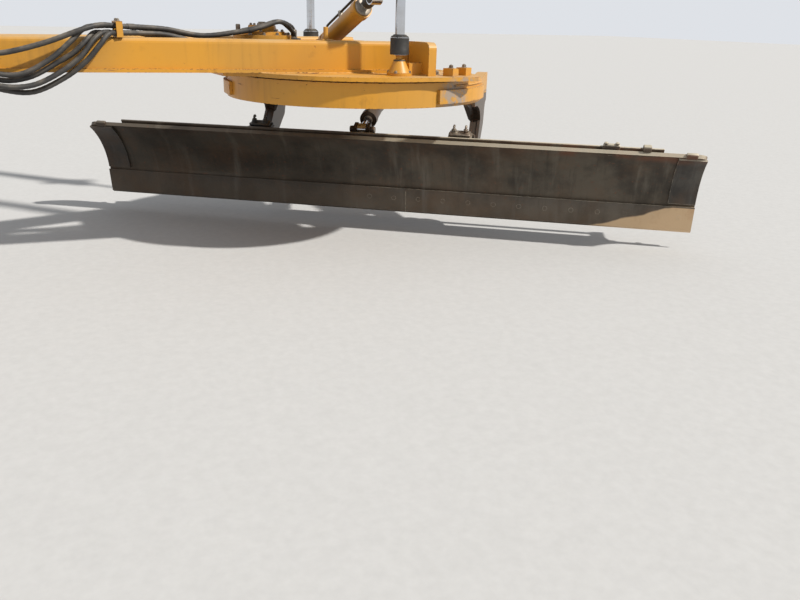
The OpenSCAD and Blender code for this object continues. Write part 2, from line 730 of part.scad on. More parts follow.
module tip_pins() {
    color(steel) at_blade() both_sides() {
        y_rod(tip_pin_d / 2, tip_pin_len, pivot_p, pivot_w, arm_y);
    }
}

// Side shift barrel, clamped in the left tilt bracket and guided in the right one
module slide_barrel() {
    color(paint) at_blade() translate([slide_p, 0, slide_w]) difference() {
        union() {
            y_rod(slide_bore / 2 + 8, slide_barrel_len, 0, 0, slide_y0 + slide_barrel_len / 2);
            for (b = [-1, 1]) y_rod(slide_collar, 2 * bracket_out + 40, 0, 0, b * arm_y);
        }
        y_rod(slide_bore / 2, slide_barrel_len - 90, 0, 0, slide_y0 + slide_barrel_len / 2 + 20);
        y_rod(slide_rod_d / 2 + fit, 200, 0, 0, slide_y0);
    }
}

// Moldboard: flat lower strip and an arc tangent to it
module in_section() {
    rotate([0, -section_lean, 0]) children();
}

// Points of the section's arc at radius r, from step i0 to step i1 of arc_n
arc_n = 30;
function arc_points(r, i0, i1) = [
    for (i = [i0:i0 < i1 ? 1 : -1:i1])
        let (a = arc_half * (2 * i / arc_n - 1))
        [arc_cx + r * cos(a), arc_cz + r * sin(a)]
];

// What rounds the upper corners of the moldboard and of its end plates
module corner_cuts() {
    top = arc_cz + back_r * sin(arc_half);
    both_sides() translate([0, blade_len / 2 - corner_r, top - corner_r]) difference() {
        translate([-1000, 0, 0]) cube([2000, corner_r + 1, corner_r + 1]);
        x_rod(corner_r, 3000);
    }
}

module moldboard() {
    foot = [edge_drop * sin(arc_half), edge_drop * cos(arc_half)];
    through = [blade_t * cos(arc_half), -blade_t * sin(arc_half)];
    color(worn) at_blade(-side_shift) in_section() difference() {
        xz_plate(concat([foot], arc_points(blade_r, 0, arc_n), arc_points(back_r, arc_n, 0),
                        [foot + through]), blade_len);
        corner_cuts();
    }
}

module slide_rail(p0, w0, w1, ledge_w, ledge_p) {
    y = [-rail_len / 2, rail_len / 2];
    block([p0, p0 + rail_t], y, [w0, w1]);
    block([ledge_p, p0 + 1], y, [ledge_w, ledge_w + ledge_t]);
}

module upper_rail() {
    color(worn) at_blade(-side_shift) difference() {
        slide_rail(top_rail_p0, top_rail_w0, top_rail_w1, top_rail_w0, back_p(top_rail_w0) - 16);
        in_section() translate([arc_cx, 0, arc_cz]) y_rod(back_r + weld, blade_len + 2, $fn = 180);
    }
}

module lower_rail() {
    color(worn) at_blade(-side_shift) difference() {
        slide_rail(low_rail_p0, low_rail_w0, low_rail_w1, low_rail_w1 - ledge_t,
                   back_p(low_rail_w1) - 16);
        in_section() translate([arc_cx, 0, arc_cz]) y_rod(back_r + weld, blade_len + 2, $fn = 180);
    }
}

// Lug on the moldboard's back that takes the end of the side shift rod
module slide_lug() {
    color(worn) at_blade(-side_shift) difference() {
        xz_plate([[back_p(slide_w + 90) - 20, slide_w + 90], [slide_p + 20, slide_w + 44],
                  [slide_p + 44, slide_w + 10], [slide_p + 40, slide_w - 34],
                  [low_rail_p1 + 8, slide_w + 8], [back_p(slide_w + 8) - 20, slide_w + 8]],
                 30, slide_lug_y - 15);
        in_section() translate([arc_cx, 0, arc_cz]) y_rod(back_r + weld, blade_len + 2, $fn = 180);
    }
}

module cutting_edge(s) {
    y0 = 0.5 - s * edge_joint;
    y1 = blade_len / 2;
    color(steel) at_blade(-side_shift) in_section() side(s) rotate([0, arc_half, 0])
        translate([-seat, 0, 0])
            xz_plate([[-edge_t, 12], [-edge_t * 0.2, 0], [0, 0], [0, edge_w - 6], [-edge_t, edge_w - 2]],
                     y1 - y0, (y0 + y1) / 2);
}

module end_plate(s) {
    color(steel) at_blade(-side_shift) in_section() difference() {
        side(s) xz_plate(concat(arc_points(blade_r - overlay_t, 1, arc_n - 1),
                                arc_points(blade_r, arc_n - 1, 1)), overlay_w, (blade_len - overlay_w) / 2);
        corner_cuts();
    }
}

module slide_rod() {
    color(chromed) at_blade() translate([slide_p, 0, slide_w]) {
        y0 = slide_lug_y - side_shift;
        y_rod(slide_rod_d / 2, slide_rod_len, 0, 0, y0 + slide_rod_len / 2);
        y_rod(slide_bore / 2 - fit, 50, 0, 0, y0 + slide_rod_len - 25);
        y_rod(slide_rod_d / 2 + 10, 24, 0, 0, y0 + 12);
    }
}

// A cylinder's barrel along +Z from its base, open for the rod at its gland
base_t = 22;
gland_t = 50;
module barrel_body(bore, wall, len, rod_d) {
    difference() {
        union() {
            cylinder(h = len, r = bore / 2 + wall);
            translate([0, 0, len - 46]) cylinder(h = 46, r = bore / 2 + wall + 5);
            cylinder(h = 34, r = bore / 2 + wall + 3);
        }
        translate([0, 0, base_t]) cylinder(h = len - base_t - gland_t, r = bore / 2);
        translate([0, 0, len - gland_t - 10]) cylinder(h = gland_t + 20, r = rod_d / 2 + fit);
    }
}

tip_dx = tip_back + (clevis_p - pivot_p) * cos(blade_tip) - (clevis_w - pivot_w) * sin(blade_tip) - anchor_x;
tip_dz = ring_z0 - tip_below + (clevis_p - pivot_p) * sin(blade_tip) + (clevis_w - pivot_w) * cos(blade_tip)
         - anchor_z;
tip_len = sqrt(tip_dx * tip_dx + tip_dz * tip_dz);

module tip_frame() {
    at_circle() translate([anchor_x, 0, anchor_z]) rotate([0, atan2(tip_dx, tip_dz), 0]) children();
}

module eye(r, w, pin_r) {
    difference() {
        y_rod(r, w);
        y_rod(pin_r + fit, w + 2);
    }
}

tip_base = 80;          // start of the tip barrel's body beyond its eye
tip_piston = 40;
tip_piston_z = tip_base + base_t + 100;
module tip_barrel() {
    color(paint) tip_frame() difference() {
        union() {
            y_rod(36, clevis_eye_w);
            translate([0, 0, 28]) cylinder(h = tip_base - 20, r = 24);
            translate([0, 0, tip_base]) barrel_body(tip_bore, 8, tip_barrel_len - tip_base, tip_rod_d);
        }
        y_rod(clevis_pin_d / 2 + fit, 200);
    }
}

module tip_rod() {
    color(chromed) tip_frame() difference() {
        union() {
            translate([0, 0, tip_len]) y_rod(36, clevis_eye_w);
            translate([0, 0, tip_piston_z + tip_piston])
                cylinder(h = tip_len - 30 - tip_piston_z - tip_piston, r = tip_rod_d / 2);
            translate([0, 0, tip_piston_z]) cylinder(h = tip_piston, r = tip_bore / 2 - fit);
        }
        for (b = [-1, 1])
            translate([0, 0, tip_len]) y_rod(clevis_pin_d / 2, 6, 0, 0, b * clevis_eye_w / 2);
    }
}

// Lift cylinders: the rod's cap holds the ball, the barrel hangs in its trunnions
module at_lift(s) {
    side(s) translate([lift_x, lift_y, lift_ball_z]) children();
}

module lift_rod(s) {
    cap = lift_cap_d / 2;
    rod_len = lift_out + lift_head + lift_in;
    color(chromed) at_lift(s) difference() {
        union() {
            translate([0, 0, -22]) cylinder(h = 80, r = cap);
            translate([0, 0, 58]) cylinder(h = 14, r1 = cap, r2 = lift_rod_d / 2 + 6);
            translate([0, 0, 60]) cylinder(h = rod_len, r = lift_rod_d / 2);
            translate([0, 0, 60 + rod_len]) cylinder(h = lift_piston, r = lift_bore / 2 - fit);
        }
        sphere(d = lift_ball_d + 2 * fit);
    }
}

module lift_barrel(s) {
    z0 = 60 + lift_out;
    color(paint) at_lift(s) translate([0, 0, z0]) difference() {
        union() {
            cylinder(h = lift_barrel_len, r = lift_od / 2);
            cylinder(h = lift_head, r = lift_od / 2 + 6);
            translate([0, 0, lift_barrel_len - 40]) cylinder(h = 40, r = lift_od / 2 + 4);
            x_rod(lift_od / 2 + 12, 100, 0, 0, lift_head + 90);
            x_rod(32.5, lift_od + 200, 0, 0, lift_head + 90);
            translate([0, 0, lift_head + 40]) cylinder(h = 100, r = lift_od / 2 + 10);
        }
        translate([0, 0, lift_head]) cylinder(h = lift_barrel_len - 2 * lift_head, r = lift_bore / 2);
        translate([0, 0, -1]) cylinder(h = lift_head + 2, r = lift_rod_d / 2 + fit);
    }
}

module at_centre() {
    translate([centre_x, centre_y, centre_z]) rotate([90 - centre_rise, 0, 0]) children();
}

module centre_barrel() {
    color(paint) at_centre() difference() {
        union() {
            x_rod(38, 60);
            translate([0, 0, 25]) cylinder(h = 60, r = 32);
            translate([0, 0, 60]) barrel_body(centre_bore, 9, centre_barrel_len - 60, centre_rod_d);
        }
        x_rod(centre_pin_d / 2 + fit, 200);
    }
}

module centre_rod() {
    color(chromed) at_centre() difference() {
        union() {
            translate([0, 0, centre_barrel_len + centre_out + 40]) x_rod(40, 56);
            translate([0, 0, 170]) cylinder(h = centre_barrel_len + centre_out - 160, r = centre_rod_d / 2);
            translate([0, 0, 125]) cylinder(h = 46, r = centre_bore / 2 - fit);
        }
        translate([0, 0, centre_barrel_len + centre_out + 40]) x_rod(20, 200);
    }
}

hitch_ball();
drawbar_nose();
drawbar_beam(-1);  // drawbar_beam_left
drawbar_beam(1);  // drawbar_beam_right
drawbar_crossbeam();
deck_plate();
lift_bracket(-1);  // lift_bracket_left
lift_bracket(1);  // lift_bracket_right
circle_shoes();
centre_bracket();
drive_gearbox();
drive_motor();
hydraulic_swivel();
hose_clamps();
front_hoses();
drive_pinion();
circle_ring();
circle_arm(-1);  // circle_arm_left
circle_arm(1);  // circle_arm_right
tip_anchor();
tilt_bracket(-1);  // tilt_bracket_left
tilt_bracket(1);  // tilt_bracket_right
wear_strips();
cross_tube();
tip_pins();
slide_barrel();
moldboard();
upper_rail();
lower_rail();
slide_lug();
cutting_edge(-1);  // cutting_edge_left
cutting_edge(1);  // cutting_edge_right
end_plate(-1);  // end_plate_left
end_plate(1);  // end_plate_right
slide_rod();
tip_barrel();
tip_rod();
lift_rod(-1);  // lift_rod_left
lift_barrel(-1);  // lift_barrel_left
lift_rod(1);  // lift_rod_right
lift_barrel(1);  // lift_barrel_right
centre_barrel();
centre_rod();
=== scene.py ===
"""Looks of a motor grader's blade group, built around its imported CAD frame.

Metres, in the row frame: the origin is the centre of the drawbar's hitch ball, +X runs to
the rear of the machine, +Y to its right and +Z up. The left end of the blade is the one
nearer to the camera. Every piece is built in its place and rides on one CAD body.
"""

import json
import logging
import math
from abc import ABC, abstractmethod
from collections.abc import Sequence
from dataclasses import dataclass
from enum import Enum
from functools import reduce
from itertools import product

import bpy
import numpy as np
from mathutils import Matrix, Vector

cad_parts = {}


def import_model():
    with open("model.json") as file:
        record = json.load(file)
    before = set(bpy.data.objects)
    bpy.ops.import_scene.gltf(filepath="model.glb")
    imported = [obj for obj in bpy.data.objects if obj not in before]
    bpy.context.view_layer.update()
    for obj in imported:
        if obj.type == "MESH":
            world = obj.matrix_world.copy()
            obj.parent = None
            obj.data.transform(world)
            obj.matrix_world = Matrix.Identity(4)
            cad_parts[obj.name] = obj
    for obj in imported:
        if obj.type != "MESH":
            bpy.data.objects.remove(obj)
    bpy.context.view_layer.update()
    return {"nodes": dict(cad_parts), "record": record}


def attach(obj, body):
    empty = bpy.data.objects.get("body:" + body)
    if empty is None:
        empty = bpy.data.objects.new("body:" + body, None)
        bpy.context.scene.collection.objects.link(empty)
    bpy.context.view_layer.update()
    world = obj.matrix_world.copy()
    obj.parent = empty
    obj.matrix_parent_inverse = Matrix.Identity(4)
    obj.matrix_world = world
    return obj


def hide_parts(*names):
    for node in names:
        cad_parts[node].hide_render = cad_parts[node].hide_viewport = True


LOG = logging.getLogger("blade_group")
Socket = bpy.types.NodeSocket
Colour = tuple[float, float, float]
Point = Sequence[float]
MM = 0.001
ORIGIN = (0.0, 0.0, 0.0)
UP = (0.0, 0.0, 1.0)


def srgb(red: float, green: float, blue: float) -> Colour:
    """A screen colour of 0 to 255 as linear light, by the sRGB curve."""
    shares = (channel / 255 for channel in (red, green, blue))
    return tuple(v / 12.92 if v <= 0.04045 else ((v + 0.055) / 1.055) ** 2.4 for v in shares)


class Slot(Enum):
    """The record's material slots."""

    PAINT = "yellow_paint"
    BLADE = "worn_blade"
    WEAR = "wear_steel"
    STEEL = "bare_steel"
    CHROME = "chrome_rod"
    BRONZE = "bronze"
    BLACK = "black_iron"
    HOSE = "hose_rubber"


class Body(Enum):
    """The CAD bodies that pieces ride on."""

    DRAWBAR = "drawbar"
    CIRCLE = "circle"
    CARRIER = "carrier"
    BLADE = "blade"
    TIP_BARREL = "tip_cylinder_barrel"
    TIP_ROD = "tip_cylinder_rod"
    LIFT_ROD_LEFT = "lift_rod_left"
    LIFT_ROD_RIGHT = "lift_rod_right"
    LIFT_BARREL_LEFT = "lift_barrel_left"
    LIFT_BARREL_RIGHT = "lift_barrel_right"
    CENTRE_BARREL = "centre_cylinder_barrel"
    CENTRE_ROD = "centre_cylinder_rod"


# Bends of the five front hoses in millimetres, from the bulkhead to the motor or the swivel
ROUTES = (
    ((336, -150, 30), (430, -168, 22), (542, -196, 20), (711, -214, 62), (876, -226, 122),
     (960, -200, 142), (1040, -168, 138), (1160, -122, 134), (1280, -96, 126), (1450, -108, 100),
     (1640, -130, 122), (1740, -138, 144), (1838, -132, 172), (1900, -96, 146), (1953, -32, 114),
     (1956, -20, 90)),
    ((336, -186, 10), (430, -202, -30), (530, -216, -68), (623, -222, -62), (735, -222, -2),
     (824, -216, 70), (890, -192, 126), (960, -164, 138), (1040, -137, 138), (1160, -90, 130),
     (1280, -62, 120), (1450, -76, 98), (1640, -98, 122), (1740, -106, 144), (1838, -100, 172),
     (1928, -48, 152), (1973, 12, 118), (1976, 20, 90)),
    ((336, -150, -12), (430, -168, -52), (530, -190, -95), (640, -196, -82), (745, -198, -30),
     (835, -208, 24), (888, -208, 72), (930, -176, 106), (975, -142, 108), (1040, -122, 107),
     (1160, -78, 104), (1280, -52, 70), (1450, -78, 50), (1640, -112, 45), (1790, -128, 45),
     (1950, -134, 38), (2060, -85, 14), (2150, 22, -8), (2250, 34, -12)),
    ((336, -186, -32), (430, -206, -78), (530, -224, -118), (650, -224, -114), (770, -226, -58),
     (860, -228, 8), (925, -214, 80), (975, -182, 110), (1040, -153, 107), (1160, -109, 106),
     (1280, -84, 92), (1450, -109, 54), (1640, -143, 45), (1790, -160, 45), (1950, -166, 38),
     (2060, -125, -8), (2150, -20, -26), (2250, 0, -12)),
    ((336, -150, -54), (430, -168, -100), (530, -190, -136), (650, -194, -146), (785, -198, -86),
     (880, -222, -14), (945, -236, 58), (990, -218, 104), (1040, -185, 107), (1160, -140, 107),
     (1280, -117, 100), (1450, -140, 58), (1640, -174, 45), (1790, -192, 45), (1950, -198, 38),
     (2060, -165, -30), (2150, -62, -42), (2250, -34, -12)),
)


def turned(axis: str, degrees: float) -> np.ndarray:
    """A 4 x 4 turn about the axis x, y or z."""
    return np.array(Matrix.Rotation(math.radians(degrees), 4, axis.upper()))


def moved(x: float, y: float, z: float) -> np.ndarray:
    """A 4 x 4 shift."""
    return np.array(Matrix.Translation((x, y, z)))


def added(name: str, data: bpy.types.ID) -> bpy.types.Object:
    """Makes an object of a mesh, a camera or a lamp, and links it to the scene."""
    made = bpy.data.objects.new(name, data)
    bpy.context.scene.collection.objects.link(made)
    return made


@dataclass(frozen=True)
class Geometry:
    """The CAD source's sizes that the pieces are built to, in metres and degrees."""

    circle_x: float = 2.330
    blade_angle: float = 50.0
    blade_tip: float = 24.0
    side_shift: float = -0.130
    deck_top: float = -0.065
    beam_angle: float = 9.5
    nose_half: float = 0.110
    nose_end: float = 0.480
    beam_end: float = 2.477
    ring_r: float = 0.712
    ring_top: float = -0.093
    ring_bottom: float = -0.213
    pivot_back: float = 0.230
    pivot_drop: float = 0.417
    pivot_gap: float = 0.066
    pivot_low: float = 0.002
    clevis_back: float = 0.040
    clevis_up: float = 0.200
    arm_y: float = 0.657
    blade_len: float = 3.658
    blade_r: float = 0.413
    blade_t: float = 0.022
    chord: float = 0.355
    edge_w: float = 0.158
    edge_t: float = 0.016
    corner_r: float = 0.034
    rail_low: float = 0.048
    rail_gap: float = 0.022
    rail_t: float = 0.024
    rail_tall: float = 0.066
    rail_short: float = 0.250
    low_rail_top: float = 0.172
    low_rail_gap: float = 0.038
    ledge_t: float = 0.022
    strip_t: float = 0.005
    keep_t: float = 0.022
    slab_t: float = 0.024
    lift_x: float = 2.300
    lift_y: float = 0.575
    lift_z: float = 0.056
    pinion_x: float = 1.790
    anchor_x: float = 0.665
    anchor_z: float = -0.293
    tip_length: float = 0.4993
    centre: tuple[float, float, float] = (2.190, 0.140, 0.045)
    centre_lean: float = 68.5

    @property
    def arc_half(self) -> float:
        """Half of the face's arc, in radians."""
        return math.asin(self.chord / 2 / self.blade_r)

    @property
    def seam(self) -> tuple[float, float]:
        """Where the straight foot meets the arc, in the section."""
        return self.edge_w * math.sin(self.arc_half), self.edge_w * math.cos(self.arc_half)

    @property
    def lean(self) -> float:
        """Turn of the section so that both its ends stand over each other, in radians."""
        across, up = self.seam
        return math.atan(across / (up + self.chord))

    @property
    def height(self) -> float:
        """Height of the section between its ends."""
        across, up = self.seam
        return math.hypot(across, up + self.chord)

    @property
    def arc_centre(self) -> tuple[float, float]:
        """Centre of the face's arc, in the section."""
        across, up = self.seam
        return across - self.blade_r * math.cos(self.arc_half), up + self.chord / 2

    @property
    def pivot(self) -> tuple[float, float]:
        """The tip pivot behind and above the edge, in the blade's frame."""
        back = self.arc_upright[0] + self.blade_r + self.blade_t
        return back + self.pivot_gap, self.height / 2 - self.pivot_low

    @property
    def arc_upright(self) -> tuple[float, float]:
        """Centre of the face's arc, in the blade's frame."""
        (p, w), c, s = self.arc_centre, math.cos(self.lean), math.sin(self.lean)
        return p * c - w * s, p * s + w * c

    def back_at(self, w: float) -> float:
        """Where the moldboard's back is, at height w of the blade's frame."""
        p, centre = self.arc_upright
        return p + math.sqrt((self.blade_r + self.blade_t) ** 2 - (w - centre) ** 2)

    @property
    def rail_top(self) -> float:
        """Top of the upper slide rail, in the blade's frame."""
        return self.height - self.rail_low

    @property
    def rail_front(self) -> float:
        """Front face of the upper slide rail, in the blade's frame."""
        return self.back_at(self.rail_top - 0.030) + self.rail_gap

    def beam_out(self, x: float) -> float:
        """Distance of a beam's outer face from the centre line at x."""
        return self.nose_half + (x - self.nose_end) * math.tan(math.radians(self.beam_angle))

    def at_circle(self) -> np.ndarray:
        """Places the circle's frame, with its origin at the centre and x to the tip pivot."""
        return moved(self.circle_x, 0, 0) @ turned("z", self.blade_angle)

    def at_carrier(self) -> np.ndarray:
        """Places the blade's frame: x to its back, y along it, z up from the cutting edge."""
        p, w = self.pivot
        pivot = moved(self.pivot_back, 0, self.ring_bottom - self.pivot_drop)
        return self.at_circle() @ pivot @ turned("y", -self.blade_tip) @ moved(-p, 0, -w)

    def at_blade(self) -> np.ndarray:
        """Places the moldboard's frame, shifted along the carrier."""
        return self.at_carrier() @ moved(0, self.side_shift, 0)

    def at_section(self) -> np.ndarray:
        """Places the moldboard's section frame."""
        return self.at_blade() @ turned("y", -math.degrees(self.lean))

    def at_tip(self) -> np.ndarray:
        """Places the tip cylinder's frame: z from its anchor to the clevis."""
        tip = math.radians(self.blade_tip)
        back, up, c, s = self.clevis_back, self.clevis_up, math.cos(tip), math.sin(tip)
        turn = math.degrees(math.atan2(
            self.pivot_back + back * c - up * s - self.anchor_x,
            self.ring_bottom - self.pivot_drop + back * s + up * c - self.anchor_z))
        return self.at_circle() @ moved(self.anchor_x, 0, self.anchor_z) @ turned("y", turn)

    def at_lift(self, side: int) -> np.ndarray:
        """Places a lift cylinder's frame: z up from its ball; side is -1 on the left."""
        return moved(self.lift_x, side * self.lift_y, self.lift_z)

    def at_centre(self) -> np.ndarray:
        """Places the centre shift cylinder's frame: z from its pin to its rod's eye."""
        return moved(*self.centre) @ turned("x", self.centre_lean)


CAD = Geometry()


class Graph:
    """Builds one material's nodes round a Principled shader, on Object coordinates."""

    def __init__(self, name: str, metallic: float, roughness: float) -> None:
        """Starts a material with its shader and output.

        Args:
            name: the material's name.
            metallic: the shader's metallic value.
            roughness: the shader's roughness where nothing is linked to it.
        """
        self.material = bpy.data.materials.new(name)
        self.material.use_nodes = True
        self.tree = self.material.node_tree
        self.tree.nodes.clear()
        self.shader = self.node("ShaderNodeBsdfPrincipled")
        self.shader.inputs["Metallic"].default_value = metallic
        self.shader.inputs["Roughness"].default_value = roughness
        output = self.node("ShaderNodeOutputMaterial")
        self.tree.links.new(self.shader.outputs[0], output.inputs[0])
        self.place = self.node("ShaderNodeTexCoord").outputs["Object"]

    def node(self, kind: str, **settings: object) -> bpy.types.Node:
        """Adds a node of that kind with its settings."""
        made = self.tree.nodes.new(kind)
        for key, value in settings.items():
            setattr(made, key, value)
        return made

    def feed(self, target: Socket, value: "Socket | float | Sequence[float]") -> None:
        """Links a socket to the target, or sets the target's value."""
        if isinstance(value, bpy.types.NodeSocket):
            self.tree.links.new(value, target)
        elif isinstance(value, (int, float)):
            target.default_value = value
        else:
            value = tuple(float(v) for v in value)
            target.default_value = value + (1.0,) if len(target.default_value) > len(value) else value

    def mapped(self, scale: Point, turn: Point = (0, 0, 0)) -> Socket:
        """Object coordinates, scaled, then turned by Euler angles in radians."""
        made = self.node("ShaderNodeMapping")
        self.feed(made.inputs["Vector"], self.place)
        self.feed(made.inputs["Scale"], scale)
        self.feed(made.inputs["Rotation"], turn)
        return made.outputs[0]

    def noise(self, scale: float, detail: float = 4, rough: float = 0.55,
              at: Socket | None = None) -> Socket:
        """A noise value of about 0.3 to 0.7, with scale in waves per metre."""
        made = self.node("ShaderNodeTexNoise")
        self.feed(made.inputs["Vector"], at or self.place)
        self.feed(made.inputs["Scale"], scale)
        self.feed(made.inputs["Detail"], detail)
        self.feed(made.inputs["Roughness"], rough)
        return made.outputs["Fac"]

    def math(self, operation: str, *values: "Socket | float", clamp: bool = True) -> Socket:
        """One Math node, clamped to 0 and 1 unless told otherwise."""
        made = self.node("ShaderNodeMath", operation=operation, use_clamp=clamp)
        for target, value in zip(made.inputs, values):
            self.feed(target, value)
        return made.outputs[0]

    def times(self, *values: "Socket | float") -> Socket:
        """The product of all the values, clamped to 0 and 1."""
        return reduce(lambda a, b: self.math("MULTIPLY", a, b), values)

    def plus(self, a: "Socket | float", b: "Socket | float") -> Socket:
        """The sum of two values, unclamped."""
        return self.math("ADD", a, b, clamp=False)

    def line(self, value: Socket, times: float, plus: float) -> Socket:
        """The value times one number plus another, unclamped."""
        return self.math("MULTIPLY_ADD", value, times, plus, clamp=False)

    def step(self, value: Socket, low: float, high: float) -> Socket:
        """Rises smoothly from 0 at low to 1 at high, or falls where low is above high."""
        made = self.node("ShaderNodeMapRange", interpolation_type="SMOOTHSTEP")
        falls = low > high
        self.feed(made.inputs["Value"], value)
        made.inputs["From Min"].default_value = min(low, high)
        made.inputs["From Max"].default_value = max(low, high)
        made.inputs["To Min"].default_value = 1.0 if falls else 0.0
        made.inputs["To Max"].default_value = 0.0 if falls else 1.0
        return made.outputs["Result"]

    def patches(self, low: float, high: float, scale: float, detail: float = 4,
                rough: float = 0.55) -> Socket:
        """Patches of a noise: 0 where it is below low, and 1 where it is above high."""
        return self.step(self.noise(scale, detail, rough), low, high)

    def mix(self, share: "Socket | float", a: "Socket | Colour", b: "Socket | Colour") -> Socket:
        """A colour that goes from a to b with share."""
        made = self.node("ShaderNodeMix", data_type="RGBA")
        for number, value in ((0, share), (6, a), (7, b)):
            self.feed(made.inputs[number], value)
        return made.outputs[2]

    def over(self, base: "Socket | Colour", coat: "Socket | Colour", *shares: "Socket | float") -> Socket:
        """The base under a coat that covers it by the product of the shares."""
        return self.mix(self.times(*shares), base, coat)

    def vector(self, operation: str, a: Socket, b: "Socket | Point") -> Socket:
        """A Vector Math node's number for two vectors."""
        made = self.node("ShaderNodeVectorMath", operation=operation)
        self.feed(made.inputs[0], a)
        self.feed(made.inputs[1], b)
        return made.outputs["Value"]

    def facing(self, direction: "Socket | Point") -> Socket:
        """How far the surface's normal points in a direction, from -1 to 1."""
        normal = self.node("ShaderNodeNewGeometry").outputs["True Normal"]
        return self.vector("DOT_PRODUCT", normal, direction)

    def upward(self) -> Socket:
        """The up part of the surface's normal, from -1 to 1."""
        return self.facing(UP)

    def height(self) -> Socket:
        """The place's height in metres."""
        parts = self.node("ShaderNodeSeparateXYZ")
        self.feed(parts.inputs[0], self.place)
        return parts.outputs[2]

    def near(self, centre: Point, inner: float, outer: float) -> Socket:
        """1 within the inner distance of a place, falling to 0 at the outer one."""
        return self.step(self.vector("DISTANCE", self.place, centre), outer, inner)

    def along(self, origin: Point, axis: Point) -> Socket:
        """Distance from the origin along an axis of unit length, in metres."""
        way = self.vector("DOT_PRODUCT", self.place, axis)
        return self.math("SUBTRACT", way, float(np.dot(origin, axis)), clamp=False)

    def joined(self, a: Socket, b: Socket, a_scale: float, b_scale: float) -> Socket:
        """A vector of two values, each stretched by its scale, for a noise."""
        made = self.node("ShaderNodeCombineXYZ")
        for target, value, scale in ((made.inputs[0], a, a_scale), (made.inputs[1], b, b_scale)):
            self.feed(target, self.math("MULTIPLY", value, scale, clamp=False))
        return made.outputs[0]

    def edges(self, radius: float) -> Socket:
        """1 along sharp edges and 0 on flats, over about that radius in metres."""
        bevel = self.node("ShaderNodeBevel", samples=6)
        bevel.inputs["Radius"].default_value = radius
        return self.step(self.facing(bevel.outputs[0]), 0.995, 0.86)

    def bump(self, height: Socket, depth: float) -> None:
        """Raises the shader's surface by height times depth, in metres."""
        made = self.node("ShaderNodeBump")
        made.inputs["Strength"].default_value = 1.0
        made.inputs["Distance"].default_value = depth
        self.feed(made.inputs["Height"], height)
        self.feed(self.shader.inputs["Normal"], made.outputs[0])

    def colour(self, value: "Socket | Colour") -> None:
        """Sets the base colour."""
        self.feed(self.shader.inputs["Base Color"], value)

    def rough(self, value: "Socket | float") -> None:
        """Sets the roughness."""
        self.feed(self.shader.inputs["Roughness"], value)


